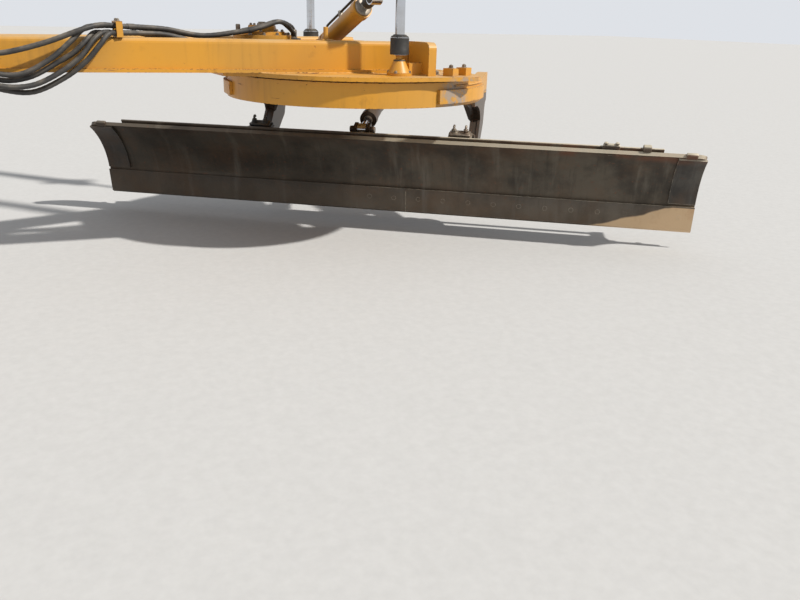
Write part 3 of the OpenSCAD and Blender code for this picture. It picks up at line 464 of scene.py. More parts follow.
@dataclass(frozen=True)
class YellowPaint:
    """Enamel over primer: dust on top, oily streaks down its sides, chips along its edges."""

    fresh: Colour = srgb(213, 150, 42)
    faded: Colour = srgb(196, 142, 54)
    dust: Colour = srgb(190, 166, 126)
    # grime of the streaks and smears, and also the painted shade on faces that point down
    grime_and_shade: Colour = srgb(96, 66, 34)
    primer: Colour = srgb(138, 78, 44)
    rust: Colour = srgb(74, 47, 33)
    mud_and_shade: Colour = srgb(58, 48, 40)
    metal: Colour = srgb(150, 138, 126)
    scrape: Point = (2.585, -0.735, -0.165)
    flaking: Point = (1.900, -0.360, -0.100)
    chipped: float = 0.53
    # how strongly mud and painted shade cover the paint
    muddy_and_shaded: float = 0.0
    soaked_and_shaded: float = 0.0
    name: str = "yellow_paint"

    def soiled(self, g: Graph) -> Socket:
        """The enamel's colour with its streaks and smears of grime, and painted shade on its undersides."""
        paint = g.mix(g.patches(0.35, 0.65, 1.7, 3), self.fresh, self.faded)
        streaks = g.noise(1.0, 6, 0.62, g.mapped((30, 30, 2.4)))
        where = g.patches(0.46, 0.66, 1.9, 2)
        paint = g.over(paint, self.grime_and_shade, g.step(streaks, 0.46, 0.80), where, 0.34)
        paint = g.over(paint, self.grime_and_shade, g.patches(0.56, 0.78, 9, 6, 0.7), 0.28)
        # painted shade: faces that point down are darkened with the grime colour
        return g.over(paint, self.grime_and_shade, g.step(g.upward(), -0.2, -0.9), 0.45)

    def muddied_and_shaded(self, g: Graph, paint: Socket) -> Socket:
        """The colour with mud and painted shade thrown on the faces ahead and laid on the low ones.

        Args:
            g: the material's nodes.
            paint: the colour under the mud and painted shade.

        Returns:
            The colour with the mud and painted shade.
        """
        # mud and painted shade: the dark mud colour covers faces that point ahead and low parts, and also
        # stands for the shade there
        if self.muddy_and_shaded:
            ahead = g.facing((-0.80, -0.10, -0.59))
            splash_and_shade = g.step(g.plus(ahead, g.times(g.noise(6, 5), 0.5)), 0.16, 0.52)
            low_down = g.step(g.plus(g.height(), g.times(g.noise(4, 3), 0.08)), -0.16, -0.24)
            paint = g.over(paint, self.mud_and_shade, splash_and_shade, low_down, self.muddy_and_shaded)
            film = g.patches(0.30, 0.62, 7, 5, 0.65)
            paint = g.over(paint, self.mud_and_shade, low_down, film, 0.6 * self.muddy_and_shaded)
        # mud and painted shade: low faces that do not point ahead take the dark mud colour
        if self.soaked_and_shaded:
            below = g.step(g.plus(g.height(), g.times(g.noise(6, 5, 0.6), 0.05)), -0.165, -0.195)
            aside = g.step(g.facing((-1.0, 0.0, 0.0)), 0.80, 0.50)
            paint = g.over(paint, self.mud_and_shade, below, aside, self.soaked_and_shaded)
        return paint

    def bared(self, g: Graph) -> Socket:
        """Where the enamel is gone: worn edges, spots, scratches and the flakes of the beam's foot."""
        worn = g.times(g.edges(0.007), g.step(g.noise(60, 6, 0.7), self.chipped, self.chipped + 0.03))
        spots = g.times(g.patches(0.685, 0.70, 21, 6, 0.66), g.patches(0.48, 0.60, 2.2, 2))
        scratch = g.noise(1.0, 3, 0.5, g.mapped((9, 9, 190), (0.3, 0.2, 0.0)))
        lines = g.times(g.step(scratch, 0.715, 0.725), g.patches(0.52, 0.62, 3.1, 2))
        foot = g.times(g.near(self.flaking, 0.060, 0.190), g.step(g.height(), -0.030, -0.085))
        flaked = g.step(g.times(foot, g.noise(34, 6, 0.7)), 0.33, 0.36)
        return reduce(lambda a, b: g.math("MAXIMUM", a, b), (worn, spots, lines, flaked))

    def build(self) -> bpy.types.Material:
        """Returns the material."""
        g = Graph(self.name, 0.0, 0.45)
        dusty = g.times(g.step(g.upward(), 0.25, 0.95), g.patches(0.30, 0.62, 4, 5), 0.55)
        paint = g.over(self.soiled(g), self.dust, dusty)
        scraped = g.patches(0.40, 0.52, 30, 5, 0.7)
        paint = g.over(paint, self.metal, g.near(self.scrape, 0.075, 0.145), scraped, 0.9)
        paint = self.muddied_and_shaded(g, paint)
        bare = self.bared(g)
        rusted = g.mix(g.patches(0.42, 0.58, 38, 4), self.primer, self.rust)
        g.colour(g.mix(bare, paint, rusted))
        g.rough(g.plus(g.times(g.plus(dusty, bare), 0.45), 0.40))
        peel = g.times(g.noise(420, 2), 0.05)
        g.bump(g.math("SUBTRACT", g.plus(peel, 0.5), g.times(bare, 0.35)), 0.0010)
        return g.material


@dataclass(frozen=True)
class PlainSteel:
    """Uncoated steel, greasy or rusted, with fine scratches."""

    light: Colour = srgb(150, 142, 130)
    dark: Colour = srgb(88, 78, 68)
    rust: Colour = srgb(110, 70, 44)
    bright: Colour = srgb(176, 166, 150)
    dust: Colour = srgb(150, 132, 106)
    rusted: float = 0.4
    metallic: float = 0.6
    roughness: float = 0.45
    name: str = "bare_steel"

    def build(self) -> bpy.types.Material:
        """Returns the material."""
        g = Graph(self.name, self.metallic, self.roughness)
        rust = g.times(g.patches(0.50, 0.66, 11, 6, 0.7), self.rusted)
        steel = g.mix(g.patches(0.35, 0.68, 16, 5), self.light, self.dark)
        steel = g.over(g.mix(rust, steel, self.rust), self.bright, g.edges(0.004), 0.35)
        g.colour(g.over(steel, self.dust, g.step(g.upward(), 0.3, 1.0), 0.35))
        g.rough(g.plus(g.times(rust, 0.35), self.roughness))
        g.bump(g.noise(190, 4), 0.0008)
        return g.material


@dataclass(frozen=True)
class BladeSteel:
    """Worn plate: streaks up its face, rust under the top edge, dust towards the foot; painted shade towards
    one end, a painted sunlit patch at the other end's foot, and dust with painted highlights on its top
    faces and edges.

    Its marks lie in the blade's own frame: along from the left end's -1.83 to 1.83, and up
    from the cutting edge's tip.
    """

    light: Colour = srgb(92, 84, 72)
    dark: Colour = srgb(52, 46, 38)
    rust: Colour = srgb(110, 68, 46)
    # dust is also the light tone of the painted sunlit patch at the foot, and dusted is that patch's share
    dust: Colour = srgb(208, 180, 144)
    shine: Colour = srgb(128, 122, 110)
    brown: Colour = srgb(96, 68, 44)
    sunlit_tan: Colour = srgb(196, 158, 122)
    # the settled and rim colours are dust and also the painted highlights on the blade's top faces and edges
    settled_dust_and_highlight: Colour = srgb(202, 192, 170)
    rim: Colour = srgb(200, 188, 166)
    dusted: float = 0.90
    metallic: float = 0.25
    name: str = "worn_blade"

    def worn(self, g: Graph, along: Socket, up: Socket, fine: Socket) -> Socket:
        """The plate's colour with painted shade towards one end, its streaks and its rust.

        Args:
            g: the material's nodes.
            along: distance along the blade.
            up: height above the cutting edge.
            fine: the fine streaks' noise.

        Returns:
            The colour.
        """
        base = g.mix(g.patches(0.36, 0.64, 3.4, 6, 0.62), self.light, self.dark)
        # painted shade: the plate darkens towards the end at along 1.83
        base = g.over(base, self.dark, g.step(along, -1.5, 1.2), 0.55)
        base = g.over(base, self.brown, g.patches(0.46, 0.62, 2.1, 4, 0.6), 0.30)
        base = g.over(base, self.dark, g.step(fine, 0.50, 0.72), 0.55)
        broad = g.noise(1.0, 4, 0.6, g.joined(along, up, 9.0, 1.1))
        base = g.over(base, self.shine, g.step(broad, 0.54, 0.72), 0.40)
        base = g.over(base, self.rust, g.patches(0.60, 0.68, 48, 5, 0.7), 0.6)
        band = g.step(g.plus(up, g.times(g.noise(7, 6, 0.65), 0.10)), 0.470, 0.530)
        spread = g.times(g.step(along, -0.7, -1.1), g.patches(0.40, 0.56, 5, 4), 0.60)
        return g.over(base, self.rust, band, g.plus(spread, 0.08))

    def build(self) -> bpy.types.Material:
        """Returns the material."""
        g = Graph(self.name, self.metallic, 0.55)
        place = CAD.at_blade()
        along, up = (g.along(place[:3, 3], place[:3, k]) for k in (1, 2))
        fine = g.noise(1.0, 7, 0.66, g.joined(along, up, 34.0, 2.6))
        base = self.worn(g, along, up, fine)
        # painted sunlight: a tan pool of light at the foot towards the end at along -1.83, bounded by a
        # slanted, wavy shadow line
        slant, ripple = g.line(along, 0.33, 0.412), g.line(g.noise(5, 3), 0.05, -0.025)
        below = g.step(g.plus(g.plus(up, slant), ripple), 0.006, -0.006)
        painted_sunlight = g.mix(g.patches(0.50, 0.80, 11, 5, 0.6), self.dust, self.sunlit_tan)
        base = g.over(base, painted_sunlight, below, g.step(up, 0.150, 0.144), self.dusted)
        base = g.over(base, self.dust, g.step(up, 0.26, 0.02), 0.10)
        # dust and painted highlight: faces that point up and sharp edges take cream colours, full towards
        # the sunlit end below along 0 and faint beyond it, where painted shade lies
        sunlit_end = g.plus(g.times(g.step(along, 0.25, 0.0), 0.72), 0.12)
        base = g.over(base, self.settled_dust_and_highlight, g.step(g.upward(), 0.25, 0.70), sunlit_end)
        rim = g.times(g.edges(0.005), g.patches(0.36, 0.54, 26, 4), sunlit_end)
        g.colour(g.over(base, self.rim, rim, 0.75))
        g.rough(g.plus(g.times(g.noise(14, 5), 0.30), 0.40))
        g.bump(g.plus(g.times(g.noise(150, 4), 0.5), g.times(fine, 0.5)), 0.0012)
        return g.material


@dataclass(frozen=True)
class Chrome:
    """Hard chrome with a film of oil and faint rings of dust."""

    bright: Colour = srgb(205, 206, 208)
    oil: Colour = srgb(140, 132, 122)
    name: str = "chrome_rod"

    def build(self) -> bpy.types.Material:
        """Returns the material."""
        g = Graph(self.name, 1.0, 0.14)
        rings = g.step(g.noise(1.0, 4, 0.6, g.mapped((2, 2, 60))), 0.55, 0.75)
        film = g.plus(g.times(g.patches(0.40, 0.72, 9, 5), 0.5), g.times(rings, 0.4))
        g.colour(g.over(self.bright, self.oil, film, 0.5))
        g.rough(g.plus(g.times(film, 0.22), 0.12))
        return g.material


@dataclass(frozen=True)
class Rubber:
    """Hose cover or black enamel, with dust on its upper side."""

    base: Colour = srgb(44, 43, 42)
    dust: Colour = srgb(134, 124, 110)
    dusted: float = 0.55
    name: str = "hose_rubber"

    def build(self) -> bpy.types.Material:
        """Returns the material."""
        g = Graph(self.name, 0.0, 0.58)
        up = g.plus(g.times(g.step(g.upward(), -0.3, 0.9), self.dusted), 0.12)
        g.colour(g.over(self.base, self.dust, g.patches(0.36, 0.70, 14, 5, 0.6), up))
        g.bump(g.noise(260, 3), 0.0006)
        return g.material


@dataclass(frozen=True)
class View:
    """The photo's camera, from its fit to the machine's known sizes. Angles are in radians."""

    place: Point = (0.3925, -4.0847, 0.2059)
    yaw: float = 0.50671
    pitch: float = 0.35263
    roll: float = 0.02675
    focal_px: float = 766.4
    width_px: float = 800.0
    sensor_mm: float = 36.0
    reach: float = 200.0

    def build(self) -> None:
        """Makes the camera, whose axes come from yaw, pitch and roll."""
        ahead = Vector((math.sin(self.yaw) * math.cos(self.pitch),
                        math.cos(self.yaw) * math.cos(self.pitch), -math.sin(self.pitch)))
        right = Vector((math.cos(self.yaw), -math.sin(self.yaw), 0.0))
        up = right.cross(ahead)
        c, s = math.cos(self.roll), math.sin(self.roll)
        right, up = c * right + s * up, -s * right + c * up
        data = bpy.data.cameras.new("photo_view")
        data.sensor_width = self.sensor_mm
        data.lens = self.sensor_mm * self.focal_px / self.width_px
        data.clip_end = self.reach
        camera = added("photo_view", data)
        turn = Matrix((right, up, -ahead)).transposed().to_4x4()
        camera.matrix_world = Matrix.Translation(Vector(self.place)) @ turn
        bpy.context.scene.camera = camera


@dataclass(frozen=True)
class Studio:
    """A pale floor, the photo's sun, and plain fill light before a pale backdrop."""

    floor_z: float = -1.02
    floor_half: float = 60.0
    floor_light: Colour = srgb(206, 205, 203)
    floor_dark: Colour = srgb(190, 189, 187)
    sun_strength: float = 4.0
    sun_angle: float = math.radians(2)
    sun_colour: Colour = (1.0, 0.97, 0.92)
    sun_from: Point = (0.46, -0.54, 0.70)
    sky_colour: Colour = (0.92, 0.95, 1.0)
    fill: float = 0.42
    backdrop: float = 0.80

    def floor(self) -> None:
        """Makes the floor."""
        half = self.floor_half
        mesh = bpy.data.meshes.new("floor")
        corners = [(-half, -half), (half, -half), (half, half), (-half, half)]
        mesh.from_pydata([(x, y, self.floor_z) for x, y in corners], [], [(0, 1, 2, 3)])
        floor = added("floor", mesh)
        g = Graph("floor", 0.0, 0.9)
        g.colour(g.mix(g.noise(30, 6), self.floor_dark, self.floor_light))
        mesh.materials.append(g.material)

    def sun(self) -> None:
        """Makes the sun."""
        lamp = bpy.data.lights.new("sun", "SUN")
        lamp.energy = self.sun_strength
        lamp.angle = self.sun_angle
        lamp.color = self.sun_colour
        turn = Vector(self.sun_from).to_track_quat("Z", "Y")
        added("sun", lamp).rotation_euler = turn.to_euler()

    def sky(self) -> None:
        """Makes the world: fill light on the pieces, and the pale backdrop where it is seen."""
        world = bpy.data.worlds.new("studio")
        bpy.context.scene.world = world
        world.use_nodes = True
        tree = world.node_tree
        sky = tree.nodes["Background"]
        sky.inputs["Color"].default_value = (*self.sky_colour, 1.0)
        rays = tree.nodes.new("ShaderNodeLightPath")
        seen: Socket = rays.outputs["Is Camera Ray"]
        for word in ("Is Glossy Ray", "Is Transmission Ray"):
            both = tree.nodes.new("ShaderNodeMath")
            both.operation = "MAXIMUM"
            tree.links.new(seen, both.inputs[0])
            tree.links.new(rays.outputs[word], both.inputs[1])
            seen = both.outputs[0]
        level = tree.nodes.new("ShaderNodeMapRange")
        level.inputs["To Min"].default_value = self.fill
        level.inputs["To Max"].default_value = self.backdrop
        tree.links.new(seen, level.inputs["Value"])
        tree.links.new(level.outputs["Result"], sky.inputs["Strength"])

    def build(self) -> None:
        """Makes the floor, the sun and the world."""
        self.floor()
        self.sun()
        self.sky()
        bpy.context.scene.view_settings.view_transform = "Standard"


# Nodes whose paint carries mud and painted shade
MUDDY_SHADED_NODES = ("slide_barrel",)
SOAKED_SHADED_NODES = ("circle_arm_left", "circle_arm_right", "tip_anchor", "tilt_bracket_left",
                "tilt_bracket_right", "cross_tube", "tip_barrel")


def dress(frame: dict) -> dict[Slot, bpy.types.Material]:
    """Gives every CAD node the material of its slot, with mud and painted shade on those that have it.

    Returns:
        Each slot's material.
    """
    # wear_steel has the blade's painted shade, painted sunlit patch and painted highlights, in its own
    # colours
    wear = BladeSteel(srgb(86, 82, 76), srgb(54, 51, 48), srgb(92, 62, 46), srgb(214, 184, 146),
                      srgb(112, 110, 106), dusted=0.95, metallic=0.35, name="wear_steel")
    bronze = PlainSteel(srgb(190, 148, 84), srgb(120, 88, 46), srgb(84, 60, 34), metallic=0.8,
                        roughness=0.4, name="bronze")
    black = Rubber(srgb(34, 33, 32), srgb(118, 106, 88), 0.45, "black_iron")
    made = {
        Slot.PAINT: YellowPaint().build(),
        Slot.BLADE: BladeSteel().build(),
        Slot.WEAR: wear.build(),
        Slot.STEEL: PlainSteel().build(),
        Slot.CHROME: Chrome().build(),
        Slot.BRONZE: bronze.build(),
        Slot.BLACK: black.build(),
        Slot.HOSE: Rubber().build(),
    }
    mud_and_shade = {MUDDY_SHADED_NODES: YellowPaint(muddy_and_shaded=0.92, name="muddy_shaded_paint").build(),
           SOAKED_SHADED_NODES: YellowPaint(muddy_and_shaded=0.92, soaked_and_shaded=0.95, name="soaked_shaded_paint").build()}
    slots = {part["node"]: Slot(part["material_slot"]) for part in frame["record"]["subparts"]}
    slots["circle_shoes"] = Slot.PAINT
    for node, obj in frame["nodes"].items():
        finish = next((paint for nodes, paint in mud_and_shade.items() if node in nodes), made[slots[node]])
        obj.data.materials.clear()
        obj.data.materials.append(finish)
        LOG.info("%s wears %s", node, finish.name)
    return made


class Shape:
    """Collects points and faces, placed by one matrix, for one mesh."""

    def __init__(self, place: np.ndarray | None = None) -> None:
        """Starts an empty shape, whose place leads from its own frame to the row frame."""
        self.place = np.eye(4) if place is None else place
        self.points: list[np.ndarray] = []
        self.faces: list[tuple[int, ...]] = []
        self.count = 0

    def add(self, points: np.ndarray, faces: Sequence[Sequence[int]]) -> None:
        """Adds points of the shape's own frame and the faces between them."""
        self.faces += [tuple(self.count + k for k in face) for face in faces]
        self.points.append(points @ self.place[:3, :3].T + self.place[:3, 3])
        self.count += len(points)

    def grid(self, points: np.ndarray) -> None:
        """Adds a closed body from rows of points, each row joined to a ring.

        Args:
            points: rows x columns x 3. Seen along the rows, the columns run counterclockwise.
        """
        rows, cols = points.shape[:2]
        turn = [(k, (k + 1) % cols) for k in range(cols)]
        faces = [(low + a, low + b, low + cols + b, low + cols + a)
                 for low in range(0, (rows - 1) * cols, cols) for a, b in turn]
        faces.append(tuple(range(cols - 1, -1, -1)))
        faces.append(tuple((rows - 1) * cols + k for k in range(cols)))
        self.add(points.reshape(-1, 3), faces)

    def tube(self, path: np.ndarray, radius: "float | np.ndarray", sides: int = 12) -> None:
        """Adds a round bar along a path, with a frame carried from point to point.

        Args:
            path: the points of its centre line.
            radius: one radius, or one for each point.
            sides: corners of its section.
        """
        ahead = np.gradient(path, axis=0)
        ahead /= np.linalg.norm(ahead, axis=1)[:, None]
        side = np.cross(ahead[0], (0.31, 0.52, 0.80))
        rows = []
        for point, along, r in zip(path, ahead, np.broadcast_to(radius, len(path))):
            side = side - along * (side @ along)
            side /= np.linalg.norm(side)
            rows.append(point + r * self.ring(side, np.cross(along, side), sides))
        self.grid(np.array(rows))

    @staticmethod
    def ring(side: np.ndarray, up: np.ndarray, sides: int, start: float = 0.0) -> np.ndarray:
        """Corners evenly round the unit circle of two directions."""
        turn = np.linspace(0, 2 * math.pi, sides, endpoint=False) + start
        return np.cos(turn)[:, None] * side + np.sin(turn)[:, None] * up

    def lathe(self, profile: Sequence[tuple[float, float]], at: Point = ORIGIN, axis: Point = UP,
              sides: int = 24, start: float = 0.0) -> None:
        """Adds a body turned round an axis.

        Args:
            profile: distance along the axis and radius of each ring, from base to top.
            at: the base's place.
            axis: the axis' direction.
            sides: corners of each ring.
            start: turn of the first corner, in radians.
        """
        along = np.asarray(axis, float) / np.linalg.norm(axis)
        side = np.cross(along, (1.0, 0.0, 0.0) if abs(along[0]) < 0.8 else (0.0, 1.0, 0.0))
        side /= np.linalg.norm(side)
        ring = self.ring(side, np.cross(along, side), sides, start)
        self.grid(np.array([np.asarray(at, float) + h * along + max(r, 1e-5) * ring for h, r in profile]))

    def plug(self, at: Point, axis: Point, radius: float, height: float, sides: int = 6,
             cut: float = 0.003, rise: float = 0.002) -> None:
        """Adds a plain plug, hexagonal or round, whose rim is cut by cut x rise."""
        self.lathe([(0, radius), (height, radius), (height + rise, radius - cut)], at, axis, sides)

    def bolt(self, at: Point, axis: Point, across: float, washer: bool = True) -> None:
        """Adds a chamfered hexagon head on its washer, with the bolt's end in the middle."""
        r = across / math.sqrt(3)
        base = 0.14 * across if washer else 0.0
        if washer:
            self.lathe([(-0.001, r * 1.28), (base * 0.8, r * 1.28), (base, r * 1.22)], at, axis, 20)
        high = base + 0.62 * across
        spin = float(np.sum(np.abs(at))) * 37.0
        self.lathe([(base - 0.001, r), (high - 0.07 * across, r), (high, r * 0.86)], at, axis, 6, spin)
        self.lathe([(high - 0.001, r * 0.46), (high + 0.10 * across, r * 0.44),
                    (high + 0.14 * across, r * 0.36)], at, axis, 12)

    def box(self, low: Point, high: Point, bevel: float) -> None:
        """Adds a box whose upright edges and rims are cut by the bevel's width."""
        x0, y0, z0 = low
        x1, y1, z1 = high
        b = bevel
        rows = []
        for z, inset in ((z0, b), (z0 + b, 0.0), (z1 - b, 0.0), (z1, b)):
            a0, a1, c0, c1 = x0 + inset, x1 - inset, y0 + inset, y1 - inset
            ring = ((a0 + b, c0), (a1 - b, c0), (a1, c0 + b), (a1, c1 - b), (a1 - b, c1), (a0 + b, c1),
                    (a0, c1 - b), (a0, c0 + b))
            rows.append([(x, y, z) for x, y in ring])
        self.grid(np.array(rows))

    def bead(self, path: Sequence[Point], radius: float, pitch: float = 0.006) -> None:
        """Adds a weld bead along straight runs, swelling once for each drop of metal."""
        path = np.asarray(path, float)
        for a, b in zip(path[:-1], path[1:]):
            length = float(np.linalg.norm(b - a))
            t = np.linspace(0, 1, max(4, int(length / pitch * 3)) + 1)
            swell = 0.86 + 0.16 * np.abs(np.sin(t * length / pitch * math.pi))
            swell = swell * (1 + 0.10 * np.sin(t * length * 41.0 + a[0] * 9) * np.sin(t * length * 17.0))
            ends = np.clip(np.minimum(t, 1 - t) * length / radius, 0.15, 1)
            self.tube(a + t[:, None] * (b - a), radius * swell * np.sqrt(ends), 7)


def around(count: int, radius: float, first: float = 0.0) -> list[tuple[float, float]]:
    """Places evenly round a circle, the first at an angle in degrees."""
    turns = (math.radians(first + 360 * k / count) for k in range(count))
    return [(radius * math.cos(a), radius * math.sin(a)) for a in turns]


def ring_path(radius: float, z: float, start: float, end: float, step: float) -> np.ndarray:
    """Points on a circle about the z axis from start to end, in degrees."""
    turn = np.radians(np.linspace(start, end, max(2, int(abs(end - start) / step) + 1)))
    return np.stack([radius * np.cos(turn), radius * np.sin(turn), np.full(len(turn), z)], 1)


def spline(points: Sequence[Point], steps: int) -> np.ndarray:
    """A smooth path through every point, with steps places on each of its runs."""
    p = np.asarray(points, float)
    p = np.vstack([2 * p[0] - p[1], p, 2 * p[-1] - p[-2]])
    out = []
    for i in range(1, len(p) - 2):
        a, b, c, d = p[i - 1:i + 3]
        for t in np.linspace(0, 1, steps, endpoint=False):
            out.append(0.5 * (2 * b + (c - a) * t + (2 * a - 5 * b + 4 * c - d) * t ** 2
                              + (3 * b - a - 3 * c + d) * t ** 3))
    out.append(p[-2])
    return np.array(out)


@dataclass
class Shop:
    """Makes Blender objects of shapes, and gives them their body, slot and material."""

    materials: dict[Slot, bpy.types.Material]

    def make(self, name: str, shape: Shape, body: Body, slot: Slot, replaces: Sequence[str] = (),
             smooth_angle: float = 40.0) -> bpy.types.Object:
        """Builds one piece.

        Args:
            name: the piece's name.
            shape: its points and faces, in the row frame.
            body: the CAD body that it rides on.
            slot: the record's slot of its finish.
            replaces: CAD nodes that it stands for.
            smooth_angle: edges below this angle are shaded smooth, in degrees.

        Returns:
            The new object.
        """
        mesh = bpy.data.meshes.new(name)
        mesh.from_pydata(np.concatenate(shape.points).tolist(), [], shape.faces)
        mesh.validate()
        mesh.update()
        mesh.materials.append(self.materials[slot])
        piece = added(name, mesh)
        mesh.polygons.foreach_set("use_smooth", np.ones(len(mesh.polygons), bool))
        mesh.set_sharp_from_angle(angle=math.radians(smooth_angle))
        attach(piece, body.value)
        if replaces:
            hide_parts(*replaces)
        LOG.info("%s: %d faces on %s", name, len(mesh.polygons), body.value)
        return piece


@dataclass
class Assembly(ABC):
    """A group of pieces that is built as one."""

    shop: Shop

    @abstractmethod
    def build(self) -> None:
        """Makes the group's pieces."""


@dataclass
class Moldboard(Assembly):
    """The curved plate with its dents, its corner lugs and the bolts of its cutting edges."""

    foot_low: float = 0.050
    foot_share: float = -1.2
    fade_up: float = 12.0
    fade_along: float = 30.0
    rows_up: int = 46
    rows_along: int = 260
    end_ease: float = 0.004
    dents: tuple[tuple[float, ...], ...] = (
        (-1.30, 0.55, 0.12, 0.006), (-0.62, 0.10, 0.16, 0.004), (0.35, 0.62, 0.10, 0.005),
        (1.05, -0.20, 0.14, 0.005), (-1.62, 0.80, 0.07, 0.007), (1.64, 0.74, 0.09, 0.006))
    lug_y: float = 1.745
    lug_deep: float = 0.011
    bolt_start: float = -1.752
    bolt_pitch: float = 0.1524
    bolt_up: float = 0.092
    nut: float = 0.024

    def dent(self, along: np.ndarray, t: np.ndarray) -> np.ndarray:
        """How far the plate is pushed to the rear, at each place along it and up its arc."""
        wave = 0.0022 * np.sin(along * 3.1 + 0.6) * np.sin(t * 2.3 + along)
        wave += 0.0011 * np.sin(along * 9.7 + t * 3.0) * np.cos(t * 4.1 - along * 2.0)
        for y, v, size, depth in self.dents:
            wave += depth * np.exp(-((along - y) / size) ** 2 - ((t - v) * 0.18 / size) ** 2)
        return np.clip(wave, -0.0015, 0.010)

    def plate(self) -> None:
        """Makes the plate as one closed body, from its left end to its right one."""
        half = CAD.arc_half
        p0, w0 = CAD.arc_centre
        turn = np.linspace(-half, half, self.rows_up)
        normal = np.stack([np.cos(turn), np.sin(turn)], 1)
        foot = self.foot_low * np.array([math.sin(half), math.cos(half)])
        through = CAD.blade_t * np.array([math.cos(half), -math.sin(half)])
        front = np.vstack([foot, (p0, w0) + CAD.blade_r * normal])
        back = np.vstack([foot + through, (p0, w0) + (CAD.blade_r + CAD.blade_t) * normal])
        share = np.concatenate([[self.foot_share], turn / half])
        corner = back[-1, 1] - CAD.corner_r
        over = np.clip((np.maximum(front[:, 1], back[:, 1]) - corner) / CAD.corner_r, 0, 1)
        ends = CAD.blade_len / 2 - CAD.corner_r * (1 - np.sqrt(1 - over ** 2))
        along = np.linspace(-1, 1, self.rows_along)[:, None] * ends[None, :]
        fade = np.clip((1.0 - np.abs(share)) * self.fade_up, 0, 1)
        fade = fade * np.clip((ends[None, :] - abs(along)) * self.fade_along, 0, 1)
        dent = self.dent(along, share[None, :]) * fade * (share > -1)
        face = front[None] + dent[..., None] * np.vstack([[0, 0], normal])[None]
        inner = np.stack([face[..., 0], along, face[..., 1]], 2)
        outer = np.stack([np.broadcast_to(back[:, 0], along.shape), along,
                          np.broadcast_to(back[:, 1], along.shape)], 2)
        loop = np.concatenate([inner[:, ::-1], outer], axis=1)
        middle = (inner.mean(axis=1) + outer.mean(axis=1)) / 2
        for row in (0, -1):
            loop[row] += (middle[row] - loop[row]) * self.end_ease
        plate = Shape(CAD.at_section())
        plate.grid(loop)
        self.shop.make("moldboard_plate", plate, Body.BLADE, Slot.BLADE, ["moldboard"], 50)

    def edge_bolts(self) -> None:
        """Makes the flush bolts in the faces of the cutting edges, with their nuts behind."""
        half = CAD.arc_half
        heads, nuts = Shape(CAD.at_section()), Shape(CAD.at_section())
        up = np.array([math.sin(half), 0, math.cos(half)])
        out = np.array([-math.cos(half), 0, math.sin(half)])
        for y in np.arange(self.bolt_start, CAD.blade_len / 2, self.bolt_pitch):
            at = up * self.bolt_up + (0, y, 0)
            heads.lathe([(-0.004, 0.0140), (0.0003, 0.0140), (0.0006, 0.0100), (0.0006, 0.0)],
                        at + out * (CAD.edge_t + 0.0002), out, 18)
            nuts.bolt(at - out * CAD.blade_t, -out, self.nut)
        self.shop.make("edge_bolt_heads", heads, Body.BLADE, Slot.WEAR)
        self.shop.make("edge_nuts", nuts, Body.BLADE, Slot.STEEL)

    def build(self) -> None:
        """Makes the plate, the lugs and the bolts."""
        self.plate()
        lugs = Shape(CAD.at_section())
        (p0, w0), half, r = CAD.arc_centre, CAD.arc_half, CAD.blade_r + self.lug_deep
        p, w = p0 + r * math.cos(half), w0 + r * math.sin(half)
        for y in (-self.lug_y, self.lug_y):
            lugs.box((p - 0.012, y - 0.030, w - 0.016), (p + 0.010, y + 0.030, w + 0.016), 0.003)
        self.shop.make("corner_lugs", lugs, Body.BLADE, Slot.BLADE)
        self.edge_bolts()


@dataclass
class Hoses(Assembly):
    """The five front hoses: faintly ribbed covers, crimped ends and sleeves."""

    routes: tuple[tuple[tuple[float, float, float], ...], ...] = ROUTES
    to_motor: int = 2
    spacing: float = 0.012
    radius: float = 0.0118
    rib: float = 0.0003
    sleeve_r: float = 0.0136
    sleeve_half: float = 0.012
    sleeves: tuple[tuple[float, float], ...] = ((0.46, 0.02), (0.80, -0.015))

    def build(self) -> None:
        """Makes the hoses and their fittings."""
        covers, fittings, sleeves = Shape(), Shape(), Shape()
        for number, route in enumerate(self.routes):
            path = spline(np.array(route) * MM, 9)
            place = np.concatenate([[0], np.cumsum(np.linalg.norm(np.diff(path, axis=0), axis=1))])
            count = int(place[-1] / self.spacing)
            even = np.linspace(0, place[-1], count)
            fine = np.stack([np.interp(even, place, path[:, k]) for k in range(3)], 1)
            covers.tube(fine, self.radius + self.rib * np.cos(np.arange(count) * math.pi), 14)
            self.fitting(fittings, fine[0], (1, 0, 0))
            self.fitting(fittings, fine[-1], UP if number < self.to_motor else (-1, 0, 0))
            for first, shift in self.sleeves:
                near = np.abs(even / place[-1] - (first + shift * number)) < self.sleeve_half
                sleeves.tube(fine[near], self.sleeve_r, 14)
        self.shop.make("front_hose_covers", covers, Body.DRAWBAR, Slot.HOSE, ["front_hoses"], 60)
        self.shop.make("front_hose_fittings", fittings, Body.DRAWBAR, Slot.STEEL)
        self.shop.make("front_hose_sleeves", sleeves, Body.DRAWBAR, Slot.HOSE)

    @staticmethod
    def fitting(shape: Shape, at: np.ndarray, along: Point) -> None:
        """Adds a crimped ferrule and a hexagon nut at a hose's end."""
        shape.lathe([(0.012, 0.0120), (0.014, 0.0142), (0.040, 0.0142), (0.043, 0.0122)], at, along, 18)
        for low in (0.018, 0.027):
            shape.lathe([(low, 0.0147), (low + 0.003, 0.0147)], at, along, 18)
        shape.lathe([(-0.001, 0.0150), (0.012, 0.0150), (0.014, 0.0135)], at, along, 6)


